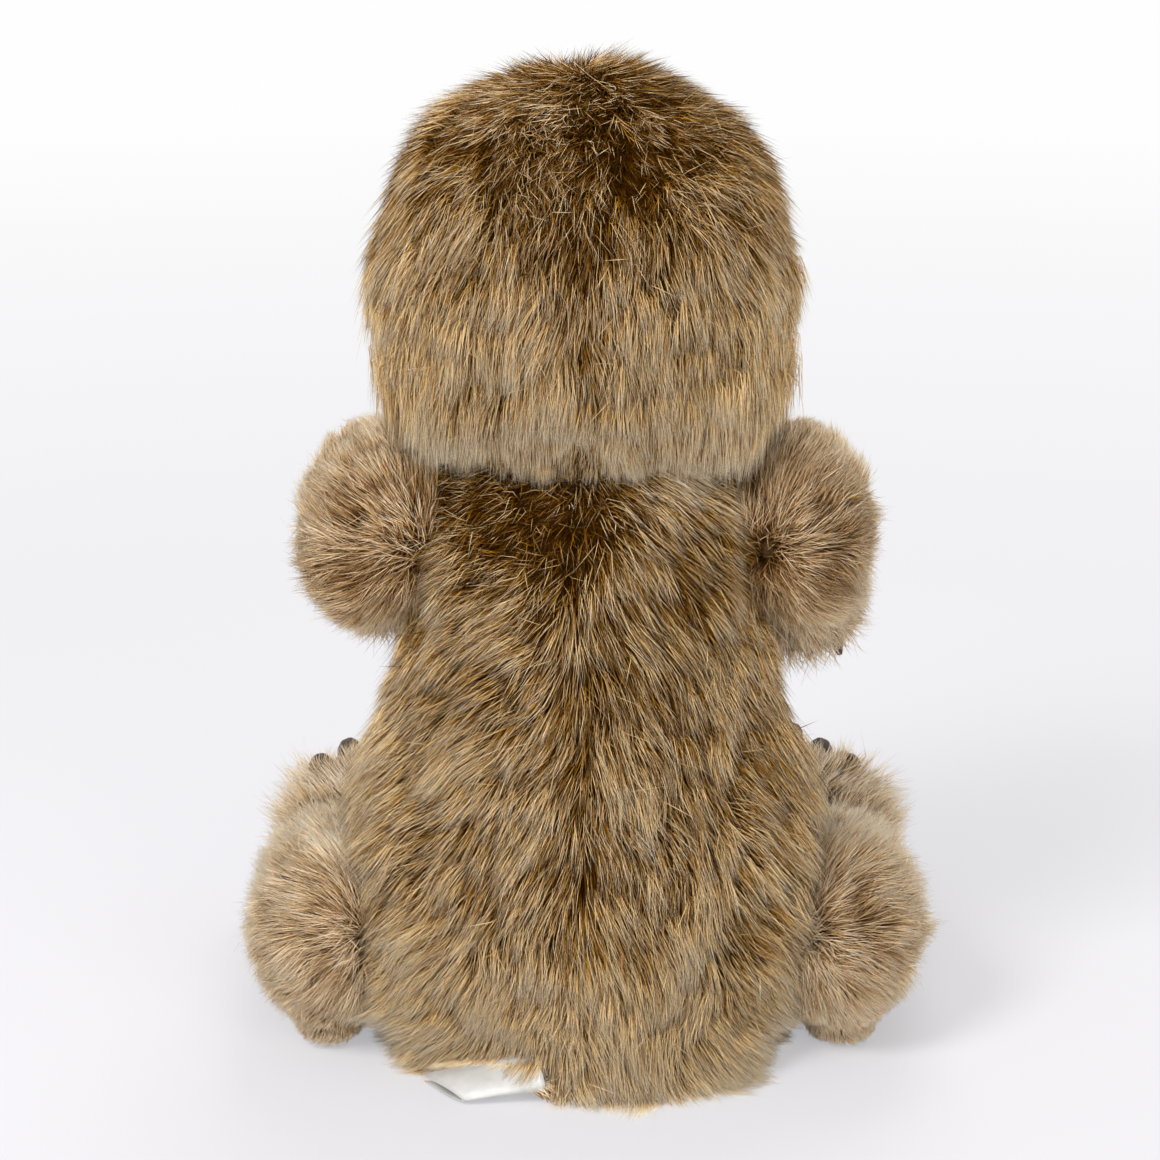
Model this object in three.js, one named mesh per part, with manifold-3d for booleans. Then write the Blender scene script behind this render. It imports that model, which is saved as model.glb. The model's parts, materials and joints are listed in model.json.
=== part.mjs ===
// Plush sloth that sits, with a head, two arms and two legs that turn, in millimetres.
// +Z is up, the face looks along -Y, the toy's left is +X, and the origin is the middle of the flat seat.
// Head, torso and limbs are fur fabric skins over stuffing. Each joint is a stem with a disc inside the
// moving part, a disc inside the torso and a lock washer that snaps between the ribs of the stem.
import * as THREE from "three";
import { mergeVertices } from "three/addons/utils/BufferGeometryUtils.js";
import Module from "manifold-3d";

const wasm = await Module();
wasm.setup();

// Fabrics and fits
const SKIN = 6; // fur fabric: backing with its pile lying over
const PRESSED_SKIN = 2; // the same fabric pressed flat under a disc or under the toy's weight
const FACE_PLUSH = 3; // short plush of the face
const PAD_SUEDE = 2.2; // palms and soles
const PATCH_FELT = 1.2; // eye patches
const FIT = 0.4; // room between pieces that touch
const JOINT_GAP = 0.6; // between a moving part and the torso
const SEAT_MARGIN = 1.5; // around the round root of a limb, where it turns

// Torso, levels from the seat
const TORSO_HEIGHT = 163;
const HIP_LEVEL = 48; // the widest place
const SHOULDER_DROP = 20; // below the neck joint
const COLLAR_DROP = 7;
const SEAT_HALF_WIDTH = 48;
const HIP_HALF_WIDTH = 60;
const WAIST_HALF_WIDTH = 50;
const SHOULDER_HALF_WIDTH = 41;
const COLLAR_HALF_WIDTH = 38;
const NECK_HALF_WIDTH = 28;
const TORSO_BACK = 0.86; // depth behind the middle, per half width
const TORSO_FRONT = 0.84;

// Head, levels from the neck joint
const HEAD_HEIGHT = 95;
const JAW_LEVEL = 9;
const CHEEK_LEVEL = 38;
const TEMPLE_DROP = 34; // below the top of the head
const CROWN_DROP = 10;
const HEAD_BASE_HALF_WIDTH = 30;
const JAW_HALF_WIDTH = 43;
const CHEEK_HALF_WIDTH = 54;
const TEMPLE_HALF_WIDTH = 49.5;
const CROWN_HALF_WIDTH = 34;
const TOP_HALF_WIDTH = 15;
const HEAD_BACK = 0.93;
const HEAD_FRONT = 0.88;

// Face, levels from the neck joint
const FACE_LEVEL = 35;
const FACE_HALF_WIDTH = 34;
const FACE_HALF_HEIGHT = 26;
const MUZZLE_LEVEL = 26;
const MUZZLE_LENGTH = 12;
const MUZZLE_HALF_WIDTH = 17;
const MUZZLE_HALF_HEIGHT = 13;
const EYE_LEVEL = 41;
const EYE_SPREAD = 17; // from the middle of the face
const EYE_RADIUS = 5;
const EYE_TURN = 0.3; // outwards, in radians
const PATCH_HALF_LENGTH = 13;
const PATCH_HALF_WIDTH = 8;
const PATCH_OUT = 3.5; // middle of a patch beyond its eye, along the slant
const PATCH_SLANT = 0.55; // outer end down, in radians
const NOSE_LEVEL = 31;
const NOSE_RADIUS = 5.5;
const NOSE_STRETCH = 1.5; // width of the nose against its height
const SHANK_RADIUS = 2;
const SHANK_LENGTH = 13;
const EYE_WASHER_RADIUS = 6;
const EYE_WASHER_DEPTH = 8.6; // from the back of the eye or nose to its washer
const EYE_WASHER_THICKNESS = 1.6;
const MOUTH_LEVEL = 20;
const MOUTH_HALF_WIDTH = 13;
const MOUTH_RISE = 5; // corners above the middle
const THREAD_RADIUS = 0.8;

// Snap joints
const DISC_THICKNESS = 2.5;
const ARM_DISC_RADIUS = 15;
const LEG_DISC_RADIUS = 17.5;
const NECK_DISC_RADIUS = 20;
const STEM_RADIUS = 3.5;
const RIB_DEPTH = 0.7;
const RIB_PITCH = 2.2;
const RIB_COUNT = 2;
const LOCK_RADIUS = 9;
const LOCK_THICKNESS = 3.2;
const LOCK_LIP = 0.7; // tongue of the washer that sits between two ribs
const LOCK_SLITS = 2;
const SLIT_WIDTH = 1.2;
const SLIT_LENGTH = 6.4; // from the joint's axis

// Arms, forward along the arm from the shoulder joint
const SHOULDER_STAND = 1; // the joint's plane beyond the torso's half width
const SHOULDER_PLANE = SHOULDER_HALF_WIDTH + SHOULDER_STAND; // from the middle of the torso to the joint
const SHOULDER_TILT = 0.12; // joint axis above level, in radians
const ARM_REACH = 80;
const ARM_ROOT_RADIUS = 27;
const ELBOW_HALF_HEIGHT = 21;
const WRIST_HALF_HEIGHT = 17;
const PAW_HALF_HEIGHT = 18;
const ARM_HALF_WIDTH = 16;
const ARM_SINK = 1; // the arm's middle nearer to the joint than its half width
const PAW_HALF_WIDTH = 15.5;
const PAW_END = 13;
const ARM_LIFT = 5; // the paw's place above a straight arm
const ARM_DROOP_LEFT = 0.52; // below level when seated, in radians
const ARM_DROOP_RIGHT = 0.62;

// Legs, forward along the leg from the hip joint
const HIP_SINK = 7.5; // the joint's plane inside the torso's half width
const HIP_PLANE = HIP_HALF_WIDTH - HIP_SINK;
const HIP_JOINT_LEVEL = 28.5;
const LEG_ROOT_RADIUS = 29;
const LEG_REACH = 76; // to the ankle
const KNEE_HALF_HEIGHT = 24;
const ANKLE_HALF_HEIGHT = 19;
const FOOT_HALF_HEIGHT = 17; // thickness of the raised foot, halved
const LEG_HALF_WIDTH = 19;
const LEG_SINK = 2; // the leg's middle nearer to the joint than its half width
const SHIN_HALF_WIDTH = 22;
const FOOT_HALF_WIDTH = 19.5;
const FOOT_FORWARD = 22; // toes in front of the ankle
const FOOT_RISE = 18; // toes above the ankle
const FOOT_END = 12;
const FOOT_LEAN = 0.55; // fall of the toes towards the outer side, per width

// Claws and pads
const CLAW_SPACING = 8.6;
const CLAW_RADIUS = 4.2;
const CLAW_TIP_RADIUS = 1.3;
const HAND_CLAW_LENGTH = 17; // forward of the paw
const HAND_CLAW_HOOK = 12; // how far the tip turns towards the palm
const HAND_CLAW_RISE = 2; // root of a claw above the middle of the paw
const FOOT_CLAW_LENGTH = 1; // above the toes
const FOOT_CLAW_HOOK = 21; // how far the tip turns towards the sole
const FOOT_CLAW_SINK = 2; // root of a claw towards the sole
const PAD_HALF_WIDTH = 9.5;
const PAD_HALF_LENGTH = 12;
const PALM_SHARE = 0.9; // the pad's middle along the limb, as a share of its length
const SOLE_SHARE = 0.94;

// Filling and label
const BAG_HALF_WIDTH = 27;
const BAG_HALF_HEIGHT = 13;
const LABEL_WIDTH = 25;
const LABEL_LENGTH = 16;
const LABEL_PLACE = 24; // from the middle, towards the left
const LABEL_RISE = 6.5;
const LABEL_CLOTH = 0.5;

// Fineness of the surfaces
const BODY_SIDES = 24; // torso and head
const LIMB_SIDES = 14;
const HIDDEN_SIDES = 12; // under the skins
const TURNED_SIDES = 12;
const OVAL_SIDES = 16;
const SEAT_SIDES = 24;

const COLOURS = {
  fur: [0x9a8060, 0.95],
  stuffing: [0xf1eee6, 0.95],
  plush: [0xd9c4a0, 0.95],
  felt: [0x4a3524, 0.95],
  suede: [0x4f4238, 0.85],
  claw: [0x3b332c, 0.7],
  eye: [0x0d0b0a, 0.1],
  nose: [0x1c1512, 0.35],
  thread: [0x33261c, 0.8],
  joint: [0xd8d5cc, 0.45],
  canvas: [0xcfc6b4, 0.9],
  satin: [0xf4f3ef, 0.5],
};
const X_AXIS = new THREE.Vector3(1, 0, 0);

// Fabric pressed flat keeps only its pressed thickness, however deep the pile is elsewhere.
function flatInset(inset) {
  return Math.max(0, inset - SKIN + PRESSED_SKIN);
}

// A smooth size through the sizes given at some places.
function smoothSize(places, sizes) {
  const curve = new THREE.CubicInterpolant(places, sizes, 1);
  return (place) => curve.evaluate(place)[0];
}

// A closed skin over rings of points, drawn in at a pole beyond each end.
function skinOver(rings, firstPole, lastPole) {
  const sides = rings[0].length;
  const points = [firstPole, ...rings.flat(), lastPole];
  const last = points.length - 1;
  const faces = [];
  for (let j = 0; j < sides; j++) {
    const next = (j + 1) % sides;
    faces.push(0, 1 + next, 1 + j);
    for (let k = 0; k < rings.length - 1; k++) {
      const here = 1 + k * sides;
      const above = here + sides;
      faces.push(here + j, here + next, above + next, here + j, above + next, above + j);
    }
    faces.push(last - sides + j, last - sides + next, last);
  }
  const geometry = new THREE.BufferGeometry();
  geometry.setFromPoints(points);
  geometry.setIndex(faces);
  return geometry;
}

function solid(geometry) {
  const bare = geometry.clone();
  bare.deleteAttribute("normal");
  bare.deleteAttribute("uv");
  const joined = mergeVertices(bare, 1e-4);
  return new wasm.Manifold(
    new wasm.Mesh({
      numProp: 3,
      vertProperties: new Float32Array(joined.attributes.position.array),
      triVerts: new Uint32Array(joined.index.array),
    }),
  );
}

function shown(manifold) {
  const mesh = manifold.getMesh();
  const geometry = new THREE.BufferGeometry();
  geometry.setAttribute("position", new THREE.BufferAttribute(new Float32Array(mesh.vertProperties), 3));
  geometry.setIndex(new THREE.BufferAttribute(new Uint32Array(mesh.triVerts), 1));
  return geometry;
}

// The geometry moved by a matrix, with its faces kept outwards when the matrix mirrors.
function placed(geometry, matrix) {
  const moved = geometry.clone().applyMatrix4(matrix);
  if (matrix.determinant() < 0) {
    const faces = moved.index.array;
    for (let i = 0; i < faces.length; i += 3) {
      [faces[i], faces[i + 1]] = [faces[i + 1], faces[i]];
    }
  }
  return moved;
}

// A turned piece around +Y, from pairs of radius and height that run upwards on its outside.
function turned(pairs, sides = TURNED_SIDES) {
  return new THREE.LatheGeometry(pairs.map(([radius, height]) => new THREE.Vector2(radius, height)), sides);
}

// A turned ring: its outside upwards, then its bore downwards.
function turnedRing(pairs) {
  return turned([...pairs, pairs[0]]);
}

// An oval plug from the XY plane along +Z.
function ovalPlug(halfX, halfY, length) {
  const oval = new THREE.Shape();
  oval.absellipse(0, 0, halfX, halfY, 0, 2 * Math.PI);
  return new THREE.ExtrudeGeometry(oval, { depth: length, bevelEnabled: false, curveSegments: OVAL_SIDES / 2 });
}

function addMesh(group, name, geometry, colour) {
  const [hex, roughness] = COLOURS[colour];
  const material = new THREE.MeshStandardMaterial({ color: hex, roughness, metalness: 0 });
  const mesh = new THREE.Mesh(geometry, material);
  mesh.name = name;
  group.add(mesh);
}

// Snap joint pieces around +Y, which points from the torso into the moving part.
function snapJoint(discRadius) {
  const skinFace = JOINT_GAP / 2 + PRESSED_SKIN;
  const discFace = skinFace + FIT;
  const discBack = discFace + DISC_THICKNESS;
  const lockFace = discBack + FIT;
  const lockBack = lockFace + LOCK_THICKNESS;
  const firstRib = lockFace + LOCK_THICKNESS / 2 - RIB_PITCH;
  const stemEnd = Math.max(lockBack, firstRib + RIB_COUNT * RIB_PITCH) + FIT;
  const edge = DISC_THICKNESS / 3;
  const core = STEM_RADIUS - RIB_DEPTH;
  const bore = STEM_RADIUS + FIT;

  const stem = [[0, -stemEnd], [core - RIB_DEPTH, -stemEnd], [core, -stemEnd + RIB_DEPTH]];
  for (let k = RIB_COUNT - 1; k >= 0; k--) {
    const rib = firstRib + k * RIB_PITCH;
    stem.push([core, -rib - RIB_DEPTH], [STEM_RADIUS, -rib], [STEM_RADIUS, -rib + RIB_DEPTH / 2]);
    stem.push([core, -rib + RIB_DEPTH / 2]);
  }
  stem.push([core, -firstRib + RIB_DEPTH], [STEM_RADIUS, -firstRib + 2 * RIB_DEPTH], [STEM_RADIUS, discFace]);
  stem.push([discRadius, discFace], [discRadius, discBack - edge], [discRadius - edge, discBack], [0, discBack]);

  const disc = [[bore, -discBack], [discRadius - edge, -discBack], [discRadius, -discBack + edge]];
  disc.push([discRadius, -discFace], [bore, -discFace]);

  const lipMiddle = firstRib + RIB_PITCH - RIB_PITCH / 2;
  const lip = core + FIT;
  const lock = [[bore, -lockBack], [LOCK_RADIUS - edge, -lockBack], [LOCK_RADIUS, -lockBack + edge]];
  lock.push([LOCK_RADIUS, -lockFace], [bore, -lockFace], [bore, -lipMiddle + LOCK_LIP / 2]);
  lock.push([lip, -lipMiddle + LOCK_LIP / 2], [lip, -lipMiddle - LOCK_LIP / 2], [bore, -lipMiddle - LOCK_LIP / 2]);
  let washer = solid(turnedRing(lock));
  for (let k = 0; k < LOCK_SLITS; k++) {
    const slit = new THREE.BoxGeometry(SLIT_LENGTH, 2 * LOCK_THICKNESS, SLIT_WIDTH);
    slit.translate(SLIT_LENGTH / 2, -lipMiddle, 0);
    washer = washer.subtract(solid(slit.rotateY((2 * Math.PI * k) / LOCK_SLITS)));
  }

  const wide = discRadius + FIT;
  const room = LOCK_RADIUS + FIT;
  return {
    stem: turned(stem),
    disc: turnedRing(disc),
    lock: shown(washer),
    hole: turned([[0, -lockBack], [bore, -lockBack], [bore, discBack], [0, discBack]]),
    limbRoom: turned([[0, skinFace], [wide, skinFace], [wide, discBack + FIT], [0, discBack + FIT]]),
    torsoRoom: turned([
      [0, -stemEnd - FIT],
      [bore, -stemEnd - FIT],
      [bore, -lockBack - FIT],
      [room, -lockBack - FIT],
      [room, -discBack - FIT],
      [wide, -discBack - FIT],
      [wide, -skinFace],
      [0, -skinFace],
    ]),
  };
}

// Flat boss where the torso's fabric is drawn over a joint disc.
function jointBoss(discRadius) {
  const face = -JOINT_GAP / 2;
  const rim = discRadius + FIT + PRESSED_SKIN;
  return turned([[0, face - discRadius], [rim, face - discRadius], [rim, face], [0, face]]);
}

// Round seat that a limb's root turns in: all of the torso beyond the joint plane, opening outwards.
function jointSeat(radius, inset) {
  const depth = JOINT_GAP / 2 + flatInset(inset);
  const rim = (radius + SEAT_MARGIN) / Math.cos(Math.PI / SEAT_SIDES) - inset;
  return turned([[0, -depth], [rim, -depth], [rim + radius, radius - depth], [0, radius - depth]], SEAT_SIDES);
}

// Stuffed form with oval rings stacked from a flat base, with closer rings at both ends.
function uprightForm(shape, inset) {
  const base = shape.base + flatInset(inset);
  const top = shape.top - (shape.flatTop ? flatInset(inset) : inset);
  const hidden = inset >= SKIN;
  const ringCount = hidden ? shape.hiddenRings : shape.rings;
  const sides = hidden ? HIDDEN_SIDES : BODY_SIDES;
  const rings = [];
  for (let k = 0; k <= ringCount; k++) {
    const level = THREE.MathUtils.lerp(base, top, 0.5 - 0.5 * Math.cos((Math.PI * k) / ringCount));
    const halfWidth = shape.halfWidth(level) - inset;
    const ring = [];
    for (let j = 0; j < sides; j++) {
      const angle = (2 * Math.PI * j) / sides;
      const x = halfWidth * Math.cos(angle);
      const away = Math.sin(angle);
      const depth = away > 0 ? halfWidth * shape.back : halfWidth * shape.front + shape.bulge(x, level);
      ring.push(new THREE.Vector3(x, away * depth, level));
    }
    rings.push(ring);
  }
  return skinOver(rings, new THREE.Vector3(0, 0, base), new THREE.Vector3(0, 0, top));
}

// Stuffed limb in its joint's frame: +X outwards along the joint axis, -Y forward along the limb.
// Its root is a round end about the axis, and its inner side is pressed flat on the joint plane.
function limbForm(limb, inset) {
  const hidden = inset >= SKIN;
  const sides = hidden ? HIDDEN_SIDES : LIMB_SIDES;
  const endRings = hidden ? 3 : 4;
  const shaftRings = hidden ? limb.hiddenRings : limb.rings;
  const rings = [];
  const flat = JOINT_GAP / 2 + flatInset(inset);
  const floor = -limb.floorDrop + flatInset(inset);
  const leanAt = (u) => limb.lean * THREE.MathUtils.smoothstep(u, 0.6, 1);
  const addRing = (u, middle, along, share) => {
    const height = limb.height(u) - inset;
    const width = limb.width(u) - inset;
    const up = along.clone().cross(X_AXIS);
    const ring = [];
    for (let j = 0; j < sides; j++) {
      const angle = (2 * Math.PI * j) / sides;
      const outwards = Math.cos(angle);
      const reach = outwards > 0 ? width : 1.4 * limb.offset;
      const point = middle.clone().addScaledVector(up, share * height * Math.sin(angle));
      point.x = Math.max(flat, limb.offset + share * reach * outwards);
      point.z = Math.max(floor, point.z - leanAt(u) * (point.x - limb.offset));
      ring.push(point);
    }
    rings.push(ring);
  };
  const start = limb.spine.getPointAt(0);
  const startAlong = limb.spine.getTangentAt(0);
  const end = limb.spine.getPointAt(1);
  const endAlong = limb.spine.getTangentAt(1);
  const rootRadius = limb.height(0) - inset;
  for (let k = 1; k < endRings; k++) {
    const angle = ((Math.PI / 2) * k) / endRings;
    const middle = start.clone().addScaledVector(startAlong, -rootRadius * Math.cos(angle));
    addRing(0, middle, startAlong, Math.sin(angle));
  }
  for (let k = 0; k <= shaftRings; k++) {
    const u = k / shaftRings;
    addRing(u, limb.spine.getPointAt(u), limb.spine.getTangentAt(u), 1);
  }
  const endLength = limb.endLength - inset / 2;
  for (let k = 1; k < endRings; k++) {
    const angle = ((Math.PI / 2) * k) / endRings;
    const middle = end.clone().addScaledVector(endAlong, endLength * Math.sin(angle));
    addRing(1, middle, endAlong, Math.cos(angle));
  }
  const poleAt = (middle) => new THREE.Vector3(limb.offset, middle.y, middle.z);
  const firstPole = poleAt(start.addScaledVector(startAlong, -rootRadius));
  const lastPole = poleAt(end.clone().addScaledVector(endAlong, endLength));
  return skinOver(rings, firstPole, lastPole);
}

// One curved, tapering claw from inside the paw's end, hooked towards the palm or sole.
function clawForm(limb, sideways) {
  const along = limb.spine.getTangentAt(1);
  const up = along.clone().cross(X_AXIS);
  const place = (forward, hook) => {
    const point = limb.spine.getPointAt(1).addScaledVector(along, limb.endLength + forward);
    point.addScaledVector(up, hook);
    point.x = limb.offset + sideways;
    point.z -= limb.lean * sideways;
    return point;
  };
  const curve = new THREE.CatmullRomCurve3([
    place(-limb.endLength, 0),
    place(0, limb.clawRise),
    place(limb.clawLength, limb.clawRise - limb.clawHook * 0.35),
    place(limb.clawLength, limb.clawRise - limb.clawHook),
  ]);
  const rings = [];
  const ringCount = 5;
  const sides = 7;
  for (let k = 0; k <= ringCount; k++) {
    const u = k / ringCount;
    const middle = curve.getPointAt(u);
    const across = curve.getTangentAt(u).cross(X_AXIS);
    const radius = THREE.MathUtils.lerp(CLAW_RADIUS, CLAW_TIP_RADIUS, u * u);
    const ring = [];
    for (let j = 0; j < sides; j++) {
      const angle = (2 * Math.PI * j) / sides;
      const point = middle.clone().addScaledVector(across, radius * Math.sin(angle));
      ring.push(point.addScaledVector(X_AXIS, radius * Math.cos(angle)));
    }
    rings.push(ring);
  }
  const tip = curve.getPointAt(1).addScaledVector(curve.getTangentAt(1), CLAW_TIP_RADIUS);
  return skinOver(rings, curve.getPointAt(0), tip);
}

// Oval through the palm or sole, from the limb's middle outwards.
function padPlug(limb, margin) {
  const along = limb.spine.getTangentAt(limb.padShare);
  const outwards = along.clone().cross(X_AXIS).negate();
  const plug = ovalPlug(PAD_HALF_WIDTH + margin, PAD_HALF_LENGTH + margin, 2 * limb.height(1));
  const matrix = new THREE.Matrix4().makeBasis(X_AXIS, along, outwards);
  const middle = limb.spine.getPointAt(limb.padShare);
  return solid(plug.applyMatrix4(matrix.setPosition(limb.offset, middle.y, middle.z)));
}

// Everything that turns with one limb, in its joint's frame.
function limbGroup(name, limb, joint) {
  const group = new THREE.Group();
  const outer = solid(limbForm(limb, 0));
  const hollow = solid(limbForm(limb, SKIN)).add(solid(joint.limbRoom)).add(solid(joint.hole));
  const pad = solid(limbForm(limb, SKIN - PAD_SUEDE)).subtract(hollow).intersect(padPlug(limb, 0));
  addMesh(group, `${name}_skin`, shown(outer.subtract(hollow).subtract(padPlug(limb, FIT))), "fur");
  addMesh(group, `${name}_stuffing`, shown(solid(limbForm(limb, SKIN + FIT)).subtract(solid(joint.limbRoom))), "stuffing");
  addMesh(group, `${name}_pad`, shown(pad), "suede");
  const around = solid(limbForm(limb, -FIT));
  ["inner", "middle", "outer"].forEach((place, k) => {
    const claw = solid(clawForm(limb, (k - 1) * CLAW_SPACING)).subtract(around);
    addMesh(group, `${name}_claw_${place}`, shown(claw), "claw");
  });
  addMesh(group, `${name}_joint_stem`, joint.stem, "joint");
  addMesh(group, `${name}_joint_lock`, joint.lock, "joint");
  return group;
}

const arm = {
  spine: new THREE.CatmullRomCurve3([
    new THREE.Vector3(0, 0, 0),
    new THREE.Vector3(0, -ARM_REACH / 2, 0),
    new THREE.Vector3(0, -ARM_REACH, ARM_LIFT),
  ]),
  height: smoothSize([0, 0.45, 0.8, 1], [ARM_ROOT_RADIUS, ELBOW_HALF_HEIGHT, WRIST_HALF_HEIGHT, PAW_HALF_HEIGHT]),
  width: smoothSize([0, 1], [ARM_HALF_WIDTH, PAW_HALF_WIDTH]),
  offset: ARM_HALF_WIDTH - ARM_SINK,
  lean: 0,
  floorDrop: Infinity,
  endLength: PAW_END,
  rings: 5,
  hiddenRings: 3,
  clawRise: HAND_CLAW_RISE,
  clawLength: HAND_CLAW_LENGTH,
  clawHook: HAND_CLAW_HOOK,
  padShare: PALM_SHARE,
};

const ankleLevel = ANKLE_HALF_HEIGHT - HIP_JOINT_LEVEL;
const leg = {
  spine: new THREE.CatmullRomCurve3([
    new THREE.Vector3(0, 0, 0),
    new THREE.Vector3(0, -LEG_REACH / 2, ankleLevel / 3),
    new THREE.Vector3(0, -LEG_REACH, ankleLevel),
    new THREE.Vector3(0, -LEG_REACH - FOOT_FORWARD * 0.75, ankleLevel + FOOT_RISE * 0.4),
    new THREE.Vector3(0, -LEG_REACH - FOOT_FORWARD, ankleLevel + FOOT_RISE),
  ]),
  height: smoothSize([0, 0.35, 0.7, 1], [LEG_ROOT_RADIUS, KNEE_HALF_HEIGHT, ANKLE_HALF_HEIGHT, FOOT_HALF_HEIGHT]),
  width: smoothSize([0, 0.6, 1], [LEG_HALF_WIDTH, SHIN_HALF_WIDTH, FOOT_HALF_WIDTH]),
  offset: LEG_HALF_WIDTH - LEG_SINK,
  lean: FOOT_LEAN,
  floorDrop: HIP_JOINT_LEVEL,
  endLength: FOOT_END,
  rings: 7,
  hiddenRings: 5,
  clawRise: -FOOT_CLAW_SINK,
  clawLength: FOOT_CLAW_LENGTH,
  clawHook: FOOT_CLAW_HOOK,
  padShare: SOLE_SHARE,
};

const shoulderLevel = TORSO_HEIGHT - SHOULDER_DROP;
const torso = {
  halfWidth: smoothSize(
    [0, HIP_LEVEL, (HIP_LEVEL + shoulderLevel) / 2, shoulderLevel, TORSO_HEIGHT - COLLAR_DROP, TORSO_HEIGHT],
    [
      SEAT_HALF_WIDTH,
      HIP_HALF_WIDTH,
      WAIST_HALF_WIDTH,
      SHOULDER_HALF_WIDTH,
      COLLAR_HALF_WIDTH,
      NECK_HALF_WIDTH,
    ],
  ),
  back: TORSO_BACK,
  front: TORSO_FRONT,
  bulge: () => 0,
  base: 0,
  top: TORSO_HEIGHT - JOINT_GAP / 2,
  flatTop: true,
  rings: 12,
  hiddenRings: 8,
};

const head = {
  halfWidth: smoothSize(
    [0, JAW_LEVEL, CHEEK_LEVEL, HEAD_HEIGHT - TEMPLE_DROP, HEAD_HEIGHT - CROWN_DROP, HEAD_HEIGHT],
    [
      HEAD_BASE_HALF_WIDTH,
      JAW_HALF_WIDTH,
      CHEEK_HALF_WIDTH,
      TEMPLE_HALF_WIDTH,
      CROWN_HALF_WIDTH,
      TOP_HALF_WIDTH,
    ],
  ),
  back: HEAD_BACK,
  front: HEAD_FRONT,
  bulge: (x, level) =>
    MUZZLE_LENGTH * Math.exp(-((x / MUZZLE_HALF_WIDTH) ** 2) - ((level - MUZZLE_LEVEL) / MUZZLE_HALF_HEIGHT) ** 2),
  base: JOINT_GAP / 2,
  top: HEAD_HEIGHT,
  flatTop: false,
  rings: 12,
  hiddenRings: 8,
};

// Front of the head at a place across and a level, under a given depth of fabric.
function faceFront(x, level, inset) {
  const halfWidth = head.halfWidth(level) - inset;
  const away = Math.sqrt(Math.max(0, 1 - (x / halfWidth) ** 2));
  return -away * (halfWidth * head.front + head.bulge(x, level));
}

// Eye or nose around +Y, which points out of the face: a dome on a flat back with a shank behind it.
function domeOnShank(radius) {
  const dome = [];
  for (let k = 0; k <= 4; k++) {
    const angle = ((Math.PI / 2) * k) / 4;
    dome.push([radius * Math.cos(angle), 1 + 0.75 * radius * Math.sin(angle)]);
  }
  dome[4][0] = 0;
  const shank = [[0, -SHANK_LENGTH], [SHANK_RADIUS - FIT, -SHANK_LENGTH], [SHANK_RADIUS, FIT - SHANK_LENGTH]];
  shank.push([SHANK_RADIUS, 0]);
  const bore = SHANK_RADIUS + FIT;
  const washerBack = -EYE_WASHER_DEPTH - EYE_WASHER_THICKNESS;
  const wide = EYE_WASHER_RADIUS + FIT;
  return {
    body: turned([...shank, [radius, 0], ...dome]),
    washer: turnedRing([
      [bore, washerBack],
      [EYE_WASHER_RADIUS, washerBack],
      [EYE_WASHER_RADIUS, -EYE_WASHER_DEPTH],
      [bore, -EYE_WASHER_DEPTH],
    ]),
    fabricRoom: turned([
      [0, washerBack - FIT],
      [wide, washerBack - FIT],
      [wide, -EYE_WASHER_DEPTH + FIT],
      [bore, -EYE_WASHER_DEPTH + FIT],
      [bore, -FIT],
      [radius + FIT, -FIT],
      [radius + FIT, 2 * radius],
      [0, 2 * radius],
    ]),
    washerRoom: turned([[0, washerBack - FIT], [wide, washerBack - FIT], [wide, 2 * radius], [0, 2 * radius]]),
    shankRoom: turned([[0, -SHANK_LENGTH - FIT], [bore, -SHANK_LENGTH - FIT], [bore, 0], [0, 0]]),
  };
}

// Oval cut through the front of the head, seen from the face.
function facePlug(halfWidth, halfHeight, x, level, slant) {
  const plug = ovalPlug(halfWidth, halfHeight, 2 * CHEEK_HALF_WIDTH);
  plug.rotateZ(slant);
  plug.rotateX(Math.PI / 2);
  return solid(plug.translate(x, -CHEEK_HALF_WIDTH / 3, level));
}

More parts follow.
